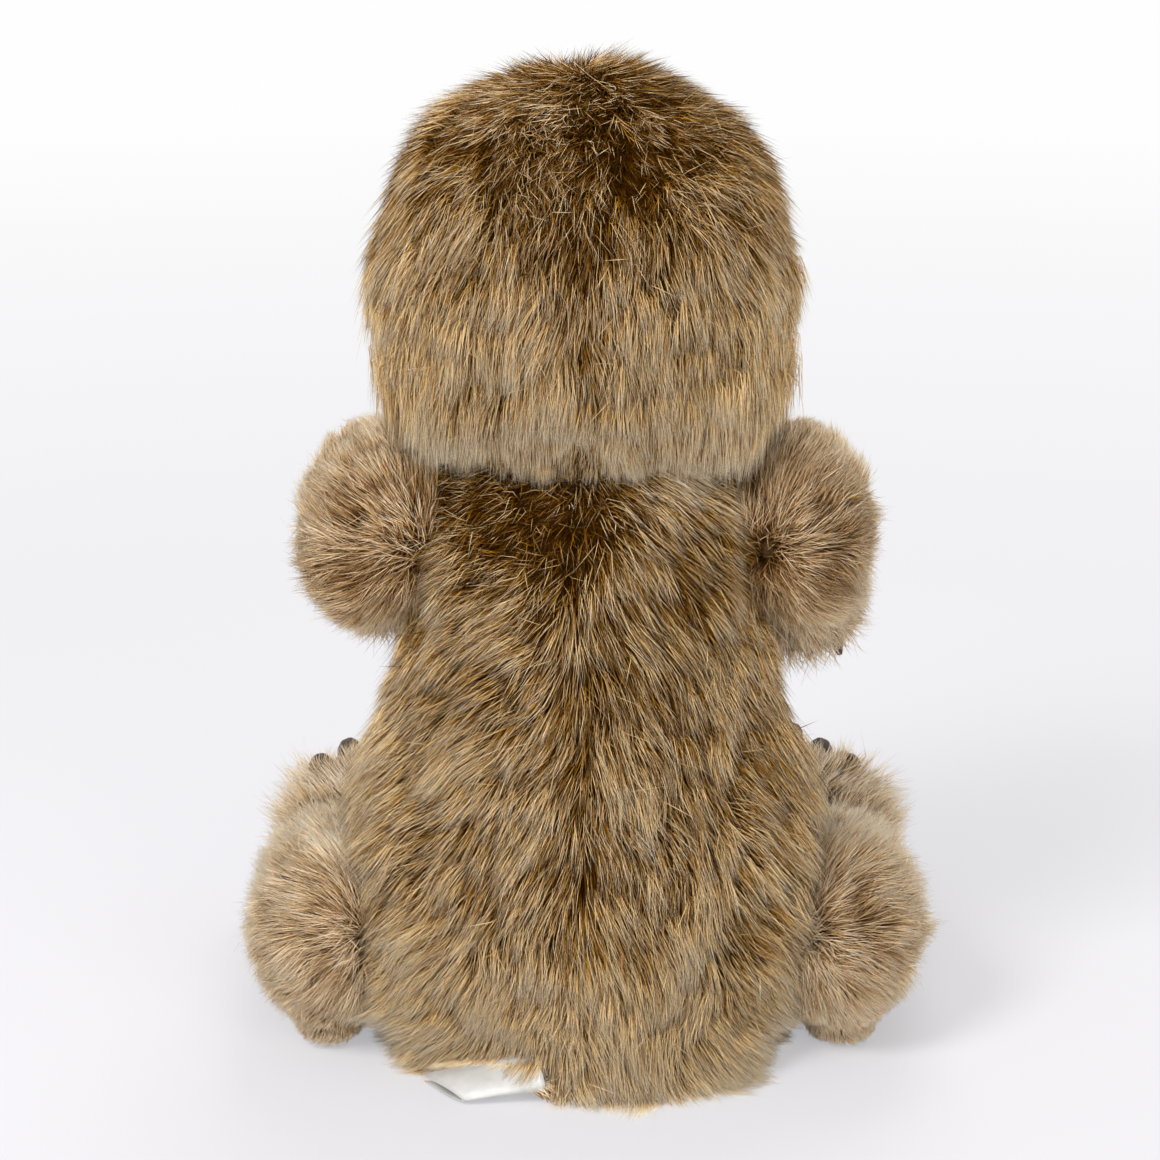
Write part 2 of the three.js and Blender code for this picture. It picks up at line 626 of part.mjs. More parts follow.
// Everything that turns with the head, from the neck joint up.
function headGroup(joint) {
  const group = new THREE.Group();
  const upright = new THREE.Matrix4().makeRotationX(Math.PI / 2);
  const neckRoom = solid(placed(joint.limbRoom, upright)).add(solid(placed(joint.hole, upright)));
  const hollow = solid(uprightForm(head, SKIN)).add(neckRoom);
  const fur = solid(uprightForm(head, 0)).subtract(hollow);
  const plushTop = SKIN - FACE_PLUSH;
  let plush = solid(uprightForm(head, plushTop)).subtract(hollow);
  plush = plush.intersect(facePlug(FACE_HALF_WIDTH, FACE_HALF_HEIGHT, 0, FACE_LEVEL, 0));
  const patchTop = plushTop - FIT - PATCH_FELT;
  const patchShell = solid(uprightForm(head, patchTop)).subtract(solid(uprightForm(head, plushTop - FIT)));
  let filling = solid(uprightForm(head, SKIN + FIT)).subtract(neckRoom);

  const eye = domeOnShank(EYE_RADIUS);
  for (const [side, sign] of [["left", 1], ["right", -1]]) {
    const across = sign * EYE_SPREAD;
    const matrix = new THREE.Matrix4().makeRotationZ(Math.PI + sign * EYE_TURN);
    matrix.setPosition(across, faceFront(across, EYE_LEVEL, patchTop) + FIT, EYE_LEVEL);
    const fabricRoom = solid(placed(eye.fabricRoom, matrix));
    const patchAcross = across + sign * PATCH_OUT * Math.cos(PATCH_SLANT);
    const patchLevel = EYE_LEVEL - PATCH_OUT * Math.sin(PATCH_SLANT);
    const plug = facePlug(PATCH_HALF_LENGTH, PATCH_HALF_WIDTH, patchAcross, patchLevel, -sign * PATCH_SLANT);
    addMesh(group, `eye_patch_${side}`, shown(patchShell.intersect(plug).subtract(fabricRoom)), "felt");
    plush = plush.subtract(fabricRoom);
    filling = filling.subtract(solid(placed(eye.washerRoom, matrix)));
    filling = filling.subtract(solid(placed(eye.shankRoom, matrix)));
    addMesh(group, `eye_${side}`, placed(eye.body, matrix), "eye");
    addMesh(group, `eye_washer_${side}`, placed(eye.washer, matrix), "joint");
  }

  const nose = domeOnShank(NOSE_RADIUS);
  const noseMatrix = new THREE.Matrix4().makeRotationZ(Math.PI);
  noseMatrix.multiply(new THREE.Matrix4().makeScale(NOSE_STRETCH, 1, 1));
  noseMatrix.setPosition(0, faceFront(0, NOSE_LEVEL, plushTop), NOSE_LEVEL);
  plush = plush.subtract(solid(placed(nose.fabricRoom, noseMatrix)));
  filling = filling.subtract(solid(placed(nose.washerRoom, noseMatrix)));
  filling = filling.subtract(solid(placed(nose.shankRoom, noseMatrix)));
  addMesh(group, "nose", placed(nose.body, noseMatrix), "nose");
  addMesh(group, "nose_washer", placed(nose.washer, noseMatrix), "joint");

  const stitches = [];
  for (let k = -4; k <= 4; k++) {
    const x = (MOUTH_HALF_WIDTH * k) / 4;
    const level = MOUTH_LEVEL + MOUTH_RISE * (k / 4) ** 2;
    stitches.push(new THREE.Vector3(x, faceFront(x, level, plushTop) - THREAD_RADIUS - FIT, level));
  }
  const thread = new THREE.Shape().absarc(0, 0, THREAD_RADIUS, 0, 2 * Math.PI);
  const path = new THREE.CatmullRomCurve3(stitches);
  const mouth = new THREE.ExtrudeGeometry(thread, { steps: 10, curveSegments: 3, extrudePath: path });
  addMesh(group, "mouth_stitch", shown(solid(mouth)), "thread");

  const faceHole = facePlug(FACE_HALF_WIDTH + FIT, FACE_HALF_HEIGHT + FIT, 0, FACE_LEVEL, 0);
  addMesh(group, "head_skin", shown(fur.subtract(faceHole)), "fur");
  addMesh(group, "face_panel", shown(plush), "plush");
  addMesh(group, "head_stuffing", shown(filling), "stuffing");
  addMesh(group, "neck_joint_stem", placed(joint.stem, upright), "joint");
  addMesh(group, "neck_joint_lock", placed(joint.lock, upright), "joint");
  return group;
}

// Folded ribbon with its fold outwards, sewn in at the bottom of the back.
function labelForm() {
  const half = LABEL_CLOTH / 2;
  const upper = new THREE.QuadraticBezierCurve(
    new THREE.Vector2(0, LABEL_RISE),
    new THREE.Vector2(LABEL_LENGTH * 0.7, LABEL_RISE * 1.1),
    new THREE.Vector2(LABEL_LENGTH, 4 * half),
  );
  const spine = upper.getPoints(8);
  spine.push(new THREE.Vector2(LABEL_LENGTH + half, 2.6 * half));
  spine.push(new THREE.Vector2(LABEL_LENGTH - 2 * half, half), new THREE.Vector2(0, half));
  const outline = [];
  const inline = [];
  spine.forEach((point, k) => {
    const before = spine[Math.max(0, k - 1)];
    const after = spine[Math.min(spine.length - 1, k + 1)];
    const way = after.clone().sub(before).normalize();
    outline.push(new THREE.Vector2(point.x - way.y * half, point.y + way.x * half));
    inline.unshift(new THREE.Vector2(point.x + way.y * half, point.y - way.x * half));
  });
  const ribbon = new THREE.ExtrudeGeometry(new THREE.Shape([...outline, ...inline]), {
    depth: LABEL_WIDTH,
    bevelEnabled: false,
  });
  const basis = new THREE.Matrix4().makeBasis(
    new THREE.Vector3(0, 1, 0),
    new THREE.Vector3(0, 0, 1),
    new THREE.Vector3(1, 0, 0),
  );
  return ribbon.applyMatrix4(basis);
}

const group = new THREE.Group();
const armJoint = snapJoint(ARM_DISC_RADIUS);
const legJoint = snapJoint(LEG_DISC_RADIUS);
const neckJoint = snapJoint(NECK_DISC_RADIUS);
const sideways = new THREE.Matrix4().makeRotationZ(-Math.PI / 2);

let torsoOuter = solid(uprightForm(torso, 0));
let torsoHollow = solid(uprightForm(torso, SKIN));
let torsoFilling = solid(uprightForm(torso, SKIN + FIT));
const torsoRooms = [];

for (const [side, sign] of [["left", 1], ["right", -1]]) {
  const mirror = new THREE.Matrix4().makeScale(sign, 1, 1);
  const armFrame = mirror.clone().multiply(new THREE.Matrix4().makeTranslation(SHOULDER_PLANE, 0, shoulderLevel));
  armFrame.multiply(new THREE.Matrix4().makeRotationY(-SHOULDER_TILT));
  const legFrame = mirror.clone().multiply(new THREE.Matrix4().makeTranslation(HIP_PLANE, 0, HIP_JOINT_LEVEL));
  const droop = side === "left" ? ARM_DROOP_LEFT : ARM_DROOP_RIGHT;
  const limbs = [
    ["arm", arm, armJoint, ARM_DISC_RADIUS, armFrame, droop],
    ["leg", leg, legJoint, LEG_DISC_RADIUS, legFrame, 0],
  ];
  for (const [kind, limb, joint, discRadius, frame, drop] of limbs) {
    const name = `${kind}_${side}`;
    const turnedJoint = {};
    for (const piece of Object.keys(joint)) {
      turnedJoint[piece] = placed(joint[piece], sideways);
    }
    const place = frame.clone().multiply(new THREE.Matrix4().makeRotationX(drop));
    const parts = limbGroup(name, limb, turnedJoint);
    parts.applyMatrix4(place);
    group.add(parts);

    const axis = frame.clone().multiply(sideways);
    const seat = (inset) => solid(placed(jointSeat(limb.height(0), inset), axis));
    torsoOuter = torsoOuter.subtract(seat(0)).add(solid(placed(jointBoss(discRadius), axis)));
    torsoHollow = torsoHollow.subtract(seat(SKIN));
    torsoFilling = torsoFilling.subtract(seat(SKIN + FIT));
    torsoRooms.push(solid(placed(joint.torsoRoom, axis)).add(solid(placed(joint.hole, axis))));
    addMesh(group, `${name}_joint_disc`, placed(joint.disc, axis), "joint");
  }
}

const neckAxis = new THREE.Matrix4().makeTranslation(0, 0, TORSO_HEIGHT).multiply(
  new THREE.Matrix4().makeRotationX(Math.PI / 2),
);
torsoRooms.push(solid(placed(neckJoint.torsoRoom, neckAxis)).add(solid(placed(neckJoint.hole, neckAxis))));
addMesh(group, "neck_joint_disc", placed(neckJoint.disc, neckAxis), "joint");
for (const room of torsoRooms) {
  torsoHollow = torsoHollow.add(room);
  torsoFilling = torsoFilling.subtract(room);
}
addMesh(group, "torso_skin", shown(torsoOuter.subtract(torsoHollow)), "fur");

// Bag of pellets that weighs the seat down, on the seat's fabric and under the stuffing.
const bagBase = PRESSED_SKIN + FIT;
const bag = (margin) => {
  const ball = new THREE.SphereGeometry(BAG_HALF_WIDTH + margin, 14, 8);
  ball.rotateX(Math.PI / 2);
  ball.scale(1, 1, (BAG_HALF_HEIGHT + margin) / (BAG_HALF_WIDTH + margin));
  return solid(ball.translate(0, 0, bagBase + BAG_HALF_HEIGHT * 0.8));
};
const underSeat = new THREE.BoxGeometry(4 * BAG_HALF_WIDTH, 4 * BAG_HALF_WIDTH, 2 * BAG_HALF_WIDTH);
const seatCut = solid(underSeat.translate(0, 0, bagBase - BAG_HALF_WIDTH));
addMesh(group, "pellet_bag", shown(bag(0).subtract(seatCut)), "canvas");
addMesh(group, "torso_stuffing", shown(torsoFilling.subtract(bag(FIT))), "stuffing");

const turningHead = headGroup(neckJoint);
turningHead.position.z = TORSO_HEIGHT;
group.add(turningHead);

const labelStart = LABEL_PLACE - LABEL_WIDTH / 2;
const backAtLabel = TORSO_BACK * Math.sqrt(SEAT_HALF_WIDTH ** 2 - labelStart ** 2);
const label = solid(labelForm().translate(labelStart, backAtLabel - LABEL_RISE / 2, 0));
addMesh(group, "care_label", shown(label.subtract(solid(uprightForm(torso, -FIT)))), "satin");

export default group;
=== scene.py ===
# Looks of the jointed plush sloth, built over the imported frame, in metres.
# Each stuffed form is a fabric skin, and its pile is made strand by strand on that skin. The face, claws,
# pads and label are pieces of their own. +Z is up, the face looks along -Y, the toy's left is +X.
import json
import math

import bmesh
import bpy
import numpy as np
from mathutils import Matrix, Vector
from mathutils.bvhtree import BVHTree
from mathutils.kdtree import KDTree

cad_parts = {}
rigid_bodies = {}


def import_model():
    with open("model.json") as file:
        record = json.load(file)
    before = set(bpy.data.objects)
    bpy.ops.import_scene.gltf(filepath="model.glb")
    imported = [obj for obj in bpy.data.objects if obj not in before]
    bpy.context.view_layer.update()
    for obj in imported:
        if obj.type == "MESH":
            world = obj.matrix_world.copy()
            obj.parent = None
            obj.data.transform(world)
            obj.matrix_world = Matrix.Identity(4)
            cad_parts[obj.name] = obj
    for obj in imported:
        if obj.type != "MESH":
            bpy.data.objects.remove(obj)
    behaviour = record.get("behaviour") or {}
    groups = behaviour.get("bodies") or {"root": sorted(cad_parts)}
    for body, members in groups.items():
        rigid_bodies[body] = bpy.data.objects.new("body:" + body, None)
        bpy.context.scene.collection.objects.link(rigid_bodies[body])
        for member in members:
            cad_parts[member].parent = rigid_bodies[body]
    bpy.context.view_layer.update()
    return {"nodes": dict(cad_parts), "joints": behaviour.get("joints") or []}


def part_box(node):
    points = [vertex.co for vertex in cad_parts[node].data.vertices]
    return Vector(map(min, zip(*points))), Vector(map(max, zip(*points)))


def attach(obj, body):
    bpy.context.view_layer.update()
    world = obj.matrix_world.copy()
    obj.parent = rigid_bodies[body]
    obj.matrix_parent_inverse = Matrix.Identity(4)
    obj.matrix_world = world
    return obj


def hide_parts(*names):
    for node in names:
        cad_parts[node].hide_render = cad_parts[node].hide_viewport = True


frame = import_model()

MM = 0.001
TURN = 2 * math.pi
UP = np.array([0, 0, 1.0])
SIDES = (("left", 1), ("right", -1))
LIMBS = ("arm_left", "arm_right", "leg_left", "leg_right")
CLAWS = ("inner", "middle", "outer")


# Small sums on arrays of points

def unit(v):
    return v / np.maximum(np.linalg.norm(v, axis=-1, keepdims=True), 1e-12)


def dot(a, b):
    return (a * b).sum(-1, keepdims=True)


def ease(x, low, high):
    """0 below low, 1 above high, smooth between."""
    t = np.clip((x - low) / (high - low), 0, 1)
    return t * t * (3 - 2 * t)


def fade(x, low, high):
    """1 below low, 0 above high, smooth between."""
    return ease(-x, -high, -low)


def bump_at(p, centre, radius):
    """1 at a point and 0 beyond radius, smooth between, both in mm."""
    return 1 - ease(np.linalg.norm(p - np.array(centre) * MM, axis=1), 0, radius * MM)


def wander(p, length, seed):
    """Smooth change over the surface, about -1 to 1, with that wavelength in mm."""
    rng = np.random.default_rng(seed)
    total = np.zeros(len(p))
    for _ in range(5):
        way = unit(rng.normal(size=3)) * TURN / (length * MM * rng.uniform(0.7, 1.5))
        total += np.sin(p @ way + rng.uniform(0, TURN))
    return np.clip(total / 3, -1, 1)


def turned_about(v, axis, angle):
    """v turned about unit axes by angles."""
    c, s = np.cos(angle)[:, None], np.sin(angle)[:, None]
    return v * c + np.cross(axis, v) * s + axis * dot(axis, v) * (1 - c)


# Meshes

def add(name, data):
    obj = bpy.data.objects.new(name, data)
    bpy.context.scene.collection.objects.link(obj)
    return obj


def make(name, points, faces):
    mesh = bpy.data.meshes.new(name)
    mesh.from_pydata(np.asarray(points).tolist(), [], faces if isinstance(faces, list) else faces.tolist())
    mesh.shade_smooth()
    return add(name, mesh)


def discard(obj):
    mesh = obj.data
    bpy.data.objects.remove(obj)
    bpy.data.meshes.remove(mesh)


def read(rows, key, width, kind=np.float64):
    """One property of every row of a mesh's table."""
    values = np.empty(len(rows) * width, kind)
    rows.foreach_get(key, values)
    return values.reshape(-1, width)


def joined(parts):
    """Several (points, triangles) as one."""
    starts = np.cumsum([0] + [len(p) for p, _ in parts])
    triangles = [t + s for (_, t), s in zip(parts, starts)]
    return np.concatenate([p for p, _ in parts]), np.concatenate(triangles)


def node_mesh(*names):
    """Points and triangles of CAD nodes, together."""
    parts = []
    for name in names:
        mesh = frame["nodes"][name].data
        mesh.calc_loop_triangles()
        parts.append((read(mesh.vertices, "co", 3), read(mesh.loop_triangles, "vertices", 3, np.int32)))
    return joined(parts)


def middle_of(node):
    """Middle and half size of a CAD node's box."""
    low, high = (np.array(corner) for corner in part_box(node))
    return (low + high) / 2, (high - low) / 2


def hull(points):
    """Points and triangles of the convex form round some points."""
    shape = bmesh.new()
    for p in points:
        shape.verts.new(p)
    bmesh.ops.convex_hull(shape, input=shape.verts)
    shape.verts.index_update()
    triangles = [[v.index for v in f.verts] for f in shape.faces]
    shape.free()
    return np.asarray(points), np.array(triangles)


def edges_of(faces):
    width = faces.shape[1]
    pairs = np.concatenate([faces[:, [k, (k + 1) % width]] for k in range(width)])
    return np.unique(np.sort(pairs, axis=1), axis=0)


def remeshed(points, triangles, voxel):
    """The outer surface of closed forms, in even quads."""
    rough = make("rough", points, triangles)
    step = rough.modifiers.new("voxels", "REMESH")
    step.mode = "VOXEL"
    step.voxel_size = voxel
    even = bpy.data.meshes.new_from_object(rough.evaluated_get(bpy.context.evaluated_depsgraph_get()))
    points = read(even.vertices, "co", 3)
    quads = read(even.loops, "vertex_index", 1, np.int32).reshape(-1, 4)
    bpy.data.meshes.remove(even)
    discard(rough)
    part = np.arange(len(points))
    edges = edges_of(quads)
    while True:  # the lowest point of each connected part spreads over it
        lowest = part.copy()
        np.minimum.at(lowest, edges[:, 0], part[edges[:, 1]])
        np.minimum.at(lowest, edges[:, 1], lowest[edges[:, 0]])
        lowest = lowest[lowest]
        if (lowest == part).all():
            break
        part = lowest
    names, counts = np.unique(part, return_counts=True)
    kept = part == names[counts.argmax()]
    place = np.cumsum(kept) - 1
    return points[kept], place[quads[kept[quads[:, 0]]]]


def relaxed(points, edges, rounds):
    """Smoothed, each round a step in and a step out so that the form keeps its size."""
    n = len(points)
    a, b = edges[:, 0], edges[:, 1]
    count = np.bincount(edges.ravel(), minlength=n)[:, None]
    for step in [0.5, -0.52] * rounds:
        total = [np.bincount(a, points[b, k], n) + np.bincount(b, points[a, k], n) for k in range(3)]
        points = points + step * (np.stack(total, axis=1) / count - points)
    return points


def normals_of(points, quads):
    a, b, c, d = (points[quads[:, k]] for k in range(4))
    across = np.cross(c - a, d - b)
    total = np.zeros_like(points)
    for k in range(4):
        np.add.at(total, quads[:, k], across)
    return unit(total)


class Form:
    """A closed surface in quads, which a pile can stand on."""

    def __init__(self, points, quads):
        self.points, self.quads = points, quads
        self.normals = normals_of(points, quads)
        self.triangles = np.concatenate([quads[:, [0, 1, 2]], quads[:, [0, 2, 3]]])
        self.tree = BVHTree.FromPolygons(points.tolist(), self.triangles.tolist())

    def nearest(self, p):
        """Nearest places on the surface, and the smooth normals there."""
        places, faces = np.empty_like(p), np.empty(len(p), np.int64)
        for k, q in enumerate(p.tolist()):
            hit = self.tree.find_nearest(q)
            places[k] = hit[0]
            faces[k] = hit[2]
        corners = self.triangles[faces]
        a, b, c = (self.points[corners[:, k]] for k in range(3))
        whole = np.cross(b - a, c - a)
        size = dot(whole, whole)
        wb = dot(np.cross(places - a, c - a), whole) / size
        wc = dot(np.cross(b - a, places - a), whole) / size
        na, nb, nc = (self.normals[corners[:, k]] for k in range(3))
        return places, unit(na * (1 - wb - wc) + nb * wb + nc * wc)


# Materials

def linear(r, g, b):
    """A colour as it is seen on a screen, from 0 to 255, as linear light."""
    c = np.array([r, g, b]) / 255
    return (*np.where(c <= 0.04045, c / 12.92, ((c + 0.055) / 1.055) ** 2.4), 1.0)


class Nodes:
    """A node tree, and short ways to add nodes to it."""

    def __init__(self, tree):
        self.tree = tree

    def node(self, kind, settings=(), **inputs):
        made = self.tree.nodes.new("ShaderNode" + kind)
        for key, value in dict(settings).items():
            setattr(made, key, value)
        for key, value in inputs.items():
            socket = made.inputs[int(key[1:]) if key[0] == "_" else key.replace("_", " ")]
            if isinstance(value, bpy.types.NodeSocket):
                self.tree.links.new(value, socket)
            else:
                socket.default_value = value
        return made

    def ramp(self, factor, stops):
        made = self.node("ValToRGB", Fac=factor)
        band = made.color_ramp
        band.elements[0].position, band.elements[0].color = stops[0]
        band.elements[1].position, band.elements[1].color = stops[-1]
        for place, colour in stops[1:-1]:
            band.elements.new(place).color = colour
        return made.outputs["Color"]

    def mix(self, factor, a, b):
        return self.node("Mix", {"data_type": "RGBA"}, Factor=factor, _6=a, _7=b).outputs[2]

    def maths(self, operation, a, b=0.0):
        return self.node("Math", {"operation": operation}, _0=a, _1=b).outputs[0]

    def place(self):
        return self.node("TexCoord").outputs["Object"]

    def own_map(self, name):
        """The two values of a piece's own map."""
        pair = self.node("SeparateXYZ", Vector=self.node("UVMap", {"uv_map": name}).outputs["UV"])
        return pair.outputs["X"], pair.outputs["Y"]

    def noise(self, scale, detail=3.0, roughness=0.55):
        made = self.node("TexNoise", Vector=self.place(), Scale=scale, Detail=detail, Roughness=roughness)
        return made.outputs["Fac"]

    def threads(self, per_metre, direction):
        settings = {"bands_direction": direction}
        wave = self.node("TexWave", settings, Vector=self.place(), Scale=per_metre, Distortion=0.6)
        return wave.outputs["Fac"]

    def span(self, value, low, high, start=0.0, end=1.0, settings=()):
        """value from start to end becomes low to high."""
        ends = dict(From_Min=start, From_Max=end, To_Min=low, To_Max=high)
        return self.node("MapRange", settings, Value=value, **ends).outputs["Result"]

    def seen(self):
        """1 for rays from the camera and for what gloss and glass show, 0 for light on the object."""
        rays = self.node("LightPath").outputs
        shown = self.maths("MAXIMUM", rays["Is Glossy Ray"], rays["Is Transmission Ray"])
        return self.maths("MAXIMUM", rays["Is Camera Ray"], shown)

    def end_in(self, output, share, plain, other):
        """Ends the tree in a plain shader with a share of another."""
        both = self.node("MixShader", Fac=share, _1=plain.outputs[0], _2=other.outputs[0])
        self.tree.links.new(both.outputs[0], self.tree.nodes[output].inputs["Surface"])


class Finish(Nodes):
    """A material with one Principled shader and nodes before it."""

    def __init__(self, name, **sockets):
        self.material = bpy.data.materials.new(name)
        self.material.use_nodes = True
        super().__init__(self.material.node_tree)
        self.shader = self.tree.nodes["Principled BSDF"]
        for socket, value in sockets.items():
            self.shader.inputs[socket.replace("_", " ")].default_value = value

    def wire(self, colour=None, roughness=None, height=None, depth=0.0001, strength=0.5):
        for socket, value in (("Base Color", colour), ("Roughness", roughness)):
            if value is not None:
                self.tree.links.new(value, self.shader.inputs[socket])
        if height is not None:
            bump = self.node("Bump", Height=height, Distance=depth, Strength=strength)
            self.tree.links.new(bump.outputs["Normal"], self.shader.inputs["Normal"])
        return self.material


STRAND_MIX = 260.0  # sets the flecks and painted glints of strands with other shades apart
FLECKS_AND_GLINTS_PER_METRE = 300.0
SATURATION = 1.12


def pile_finish(name, shades, roughness, flecks_and_glints):
    """Fibre coloured from root to tip. A row of shades is a place in the range and its three colours."""
    made = Finish(name, Specular_IOR_Level=0.02, Roughness=roughness)
    across, along = made.own_map("strand")
    root, middle, tip = (made.ramp(across, [(row[0], linear(*row[k])) for row in shades]) for k in (1, 2, 3))
    lower = made.mix(made.span(along, 0.0, 1.0, 0.1, 0.6), root, middle)
    coloured = made.mix(made.span(along, 0.0, 1.0, 0.6, 1.0), lower, tip)
    # Each strand has light and dark stretches of its own, a few millimetres long: painted glints and painted
    # shade, with some uneven colour of the fibre.
    own = made.maths("MULTIPLY", across, STRAND_MIX)
    settings = {"noise_dimensions": "4D"}
    fleck_and_glint_noise = made.node("TexNoise", settings, Vector=made.place(), W=own, Scale=FLECKS_AND_GLINTS_PER_METRE, Detail=0.0)
    fleck_and_glint_level = made.span(fleck_and_glint_noise.outputs["Fac"], *flecks_and_glints, 0.28, 0.72)
    colour = made.node("HueSaturation", Saturation=SATURATION, Value=fleck_and_glint_level, Color=coloured)
    return made.wire(colour=colour.outputs["Color"])


COAT = pile_finish(
    "fur_coat",
    [
        (0.0, (26, 12, 2), (50, 27, 7), (78, 50, 23)),
        (0.25, (52, 26, 5), (108, 70, 28), (156, 123, 84)),
        (0.5, (84, 49, 15), (165, 124, 72), (222, 197, 160)),
        (0.75, (116, 75, 31), (219, 188, 141), (253, 242, 222)),
        (0.87, (138, 95, 47), (235, 209, 167), (255, 250, 238)),
        (0.91, (98, 61, 18), (176, 129, 60), (214, 172, 98)),
        (1.0, (98, 61, 18), (176, 129, 60), (214, 172, 98)),
    ],
    0.4,
    (0.2, 1.6),
)
LIMB_COAT = pile_finish(
    "fur_limb",
    [
        (0.0, (42, 23, 9), (84, 56, 31), (126, 97, 68)),
        (0.25, (68, 42, 20), (136, 103, 70), (190, 160, 126)),
        (0.5, (94, 64, 36), (190, 158, 120), (236, 214, 182)),
        (0.75, (122, 90, 58), (226, 201, 167), (253, 243, 224)),
        (0.87, (140, 106, 72), (240, 220, 190), (255, 250, 238)),
        (0.91, (104, 72, 32), (190, 150, 88), (228, 195, 132)),
        (1.0, (104, 72, 32), (190, 150, 88), (228, 195, 132)),
    ],
    0.4,
    (0.5, 1.4),
)
PLUSH_PILE = pile_finish(
    "plush_pile",
    [
        (0.0, (150, 122, 88), (196, 170, 134), (214, 192, 158)),
        (0.5, (176, 150, 114), (218, 196, 160), (234, 216, 184)),
        (1.0, (196, 172, 136), (232, 213, 180), (244, 230, 203)),
    ],
    0.6,
    (0.75, 1.2),
)
FELT_PILE = pile_finish(
    "felt_pile",
    [
        (0.0, (30, 20, 12), (48, 33, 21), (62, 44, 29)),
        (0.5, (38, 26, 16), (62, 44, 29), (80, 58, 40)),
        (1.0, (50, 35, 22), (80, 58, 39), (102, 76, 54)),
    ],
    0.7,
    (0.7, 1.3),
)


def cloth_finish(name, dark, light, per_metre, roughness, depth, sheen=0.0):
    """Woven or knitted cloth: threads both ways, with soft changes of colour over it."""
    made = Finish(name, Specular_IOR_Level=0.25, Sheen_Weight=sheen)
    weave = made.maths("MULTIPLY", made.threads(per_metre, "X"), made.threads(per_metre, "Z"))
    colour = made.ramp(made.noise(60.0), [(0.3, linear(*dark)), (0.7, linear(*light))])
    colour = made.mix(made.span(weave, 0.0, 0.35), colour, linear(*(0.6 * np.array(dark))))
    return made.wire(colour, made.span(weave, roughness - 0.1, roughness), weave, depth)


def nap_finish(name, dark, light, roughness, depth, sheen):
    """Suede, felt and fibre: fine short grain over cloudy colour."""
    made = Finish(name, Specular_IOR_Level=0.2, Sheen_Weight=sheen, Sheen_Roughness=0.4)
    fine = made.noise(2600.0, 4.0, 0.7)
    cloud = made.maths("MULTIPLY", made.noise(120.0), 0.6)
    cloud = made.maths("ADD", cloud, made.maths("MULTIPLY", fine, 0.4))
    colour = made.ramp(cloud, [(0.35, linear(*dark)), (0.65, linear(*light))])
    return made.wire(colour, made.span(fine, roughness - 0.12, roughness + 0.08), fine, depth)


def moulded_finish(name, dark, light, low, high, coat=0.0, grain=900.0, depth=0.00002):
    """Moulded plastic: faint flow marks, fine grain and uneven gloss."""
    made = Finish(name, Coat_Weight=coat, Coat_Roughness=0.04)
    marks = made.noise(140.0, 4.0)
    colour = made.ramp(marks, [(0.3, linear(*dark)), (0.7, linear(*light))])
    return made.wire(colour, made.span(marks, low, high), made.noise(grain), depth, 0.25)


def eye_finish():
    """Moulded eye under a clear coat: black pupil, dark brown streaked iris and black rim."""
    made = Finish("eye_gloss", Coat_Weight=0.9, Coat_Roughness=0.02, Specular_IOR_Level=0.05)
    around, out = made.own_map("dome")
    own = made.maths("MULTIPLY", around, 60.0)
    spokes = made.node("TexNoise", {"noise_dimensions": "1D"}, W=own, Scale=1.0, Detail=2.0)
    streaks = made.ramp(spokes.outputs["Fac"], [(0.3, linear(30, 17, 9)), (0.7, linear(66, 40, 20))])
    off, on = (0, 0, 0, 1), (1, 1, 1, 1)
    band = made.ramp(out, [(0.0, off), (0.56, off), (0.62, on), (0.84, on), (0.92, off)])
    colour = made.mix(band, linear(7, 5, 4), streaks)
    return made.wire(colour, made.span(made.noise(300.0), 0.05, 0.12))


def satin_finish():
    """Satin ribbon: fine threads across and a denser woven edge along each side."""
    made = Finish("label_satin", Specular_IOR_Level=0.5, Sheen_Weight=0.2, Sheen_Roughness=0.3)
    across, along = made.own_map("ribbon")
    threads = made.maths("SINE", made.maths("MULTIPLY", along, 560.0))
    from_middle = made.maths("ABSOLUTE", made.maths("SUBTRACT", across, 0.5))
    edge = made.span(made.maths("SUBTRACT", 0.5, from_middle), 1.0, 0.0, 0.03, 0.05)
    colour = made.ramp(made.noise(220.0), [(0.3, linear(176, 175, 173)), (0.7, linear(192, 191, 189))])
    colour = made.mix(made.maths("MULTIPLY", edge, 0.5), colour, linear(166, 164, 160))
    height = made.maths("ADD", made.maths("MULTIPLY", threads, 0.3), edge)
    return made.wire(colour, made.span(threads, 0.3, 0.42), height, 0.00008, 0.4)


BACKING = cloth_finish("fur_backing", (62, 44, 24), (92, 66, 34), 500.0, 0.9, 0.0003)
PLUSH = nap_finish("plush_backing", (182, 156, 120), (210, 187, 150), 0.9, 0.0003, 0.3)
FELT = nap_finish("felt", (40, 27, 17), (66, 47, 31), 0.95, 0.0003, 0.2)
SUEDE = nap_finish("suede", (92, 75, 61), (128, 108, 90), 0.92, 0.00022, 0.35)
CLAW = nap_finish("claw_suede", (62, 52, 44), (92, 80, 70), 0.92, 0.00015, 0.35)
THREAD = cloth_finish("thread", (44, 31, 21), (66, 48, 33), 2400.0, 0.7, 0.0001, 0.2)
EYE = eye_finish()
NOSE = moulded_finish("nose_satin", (24, 17, 14), (44, 32, 26), 0.28, 0.42, 0.25, 1800.0, 0.00008)
PLASTIC = moulded_finish("joint_plastic", (206, 202, 190), (226, 223, 214), 0.35, 0.5)
CANVAS = cloth_finish("pellet_canvas", (188, 180, 160), (214, 207, 190), 900.0, 0.85, 0.0003)
SATIN = satin_finish()


# Pieces

def dress(obj, material):
    obj.data.materials.clear()
    obj.data.materials.append(material)
    return obj


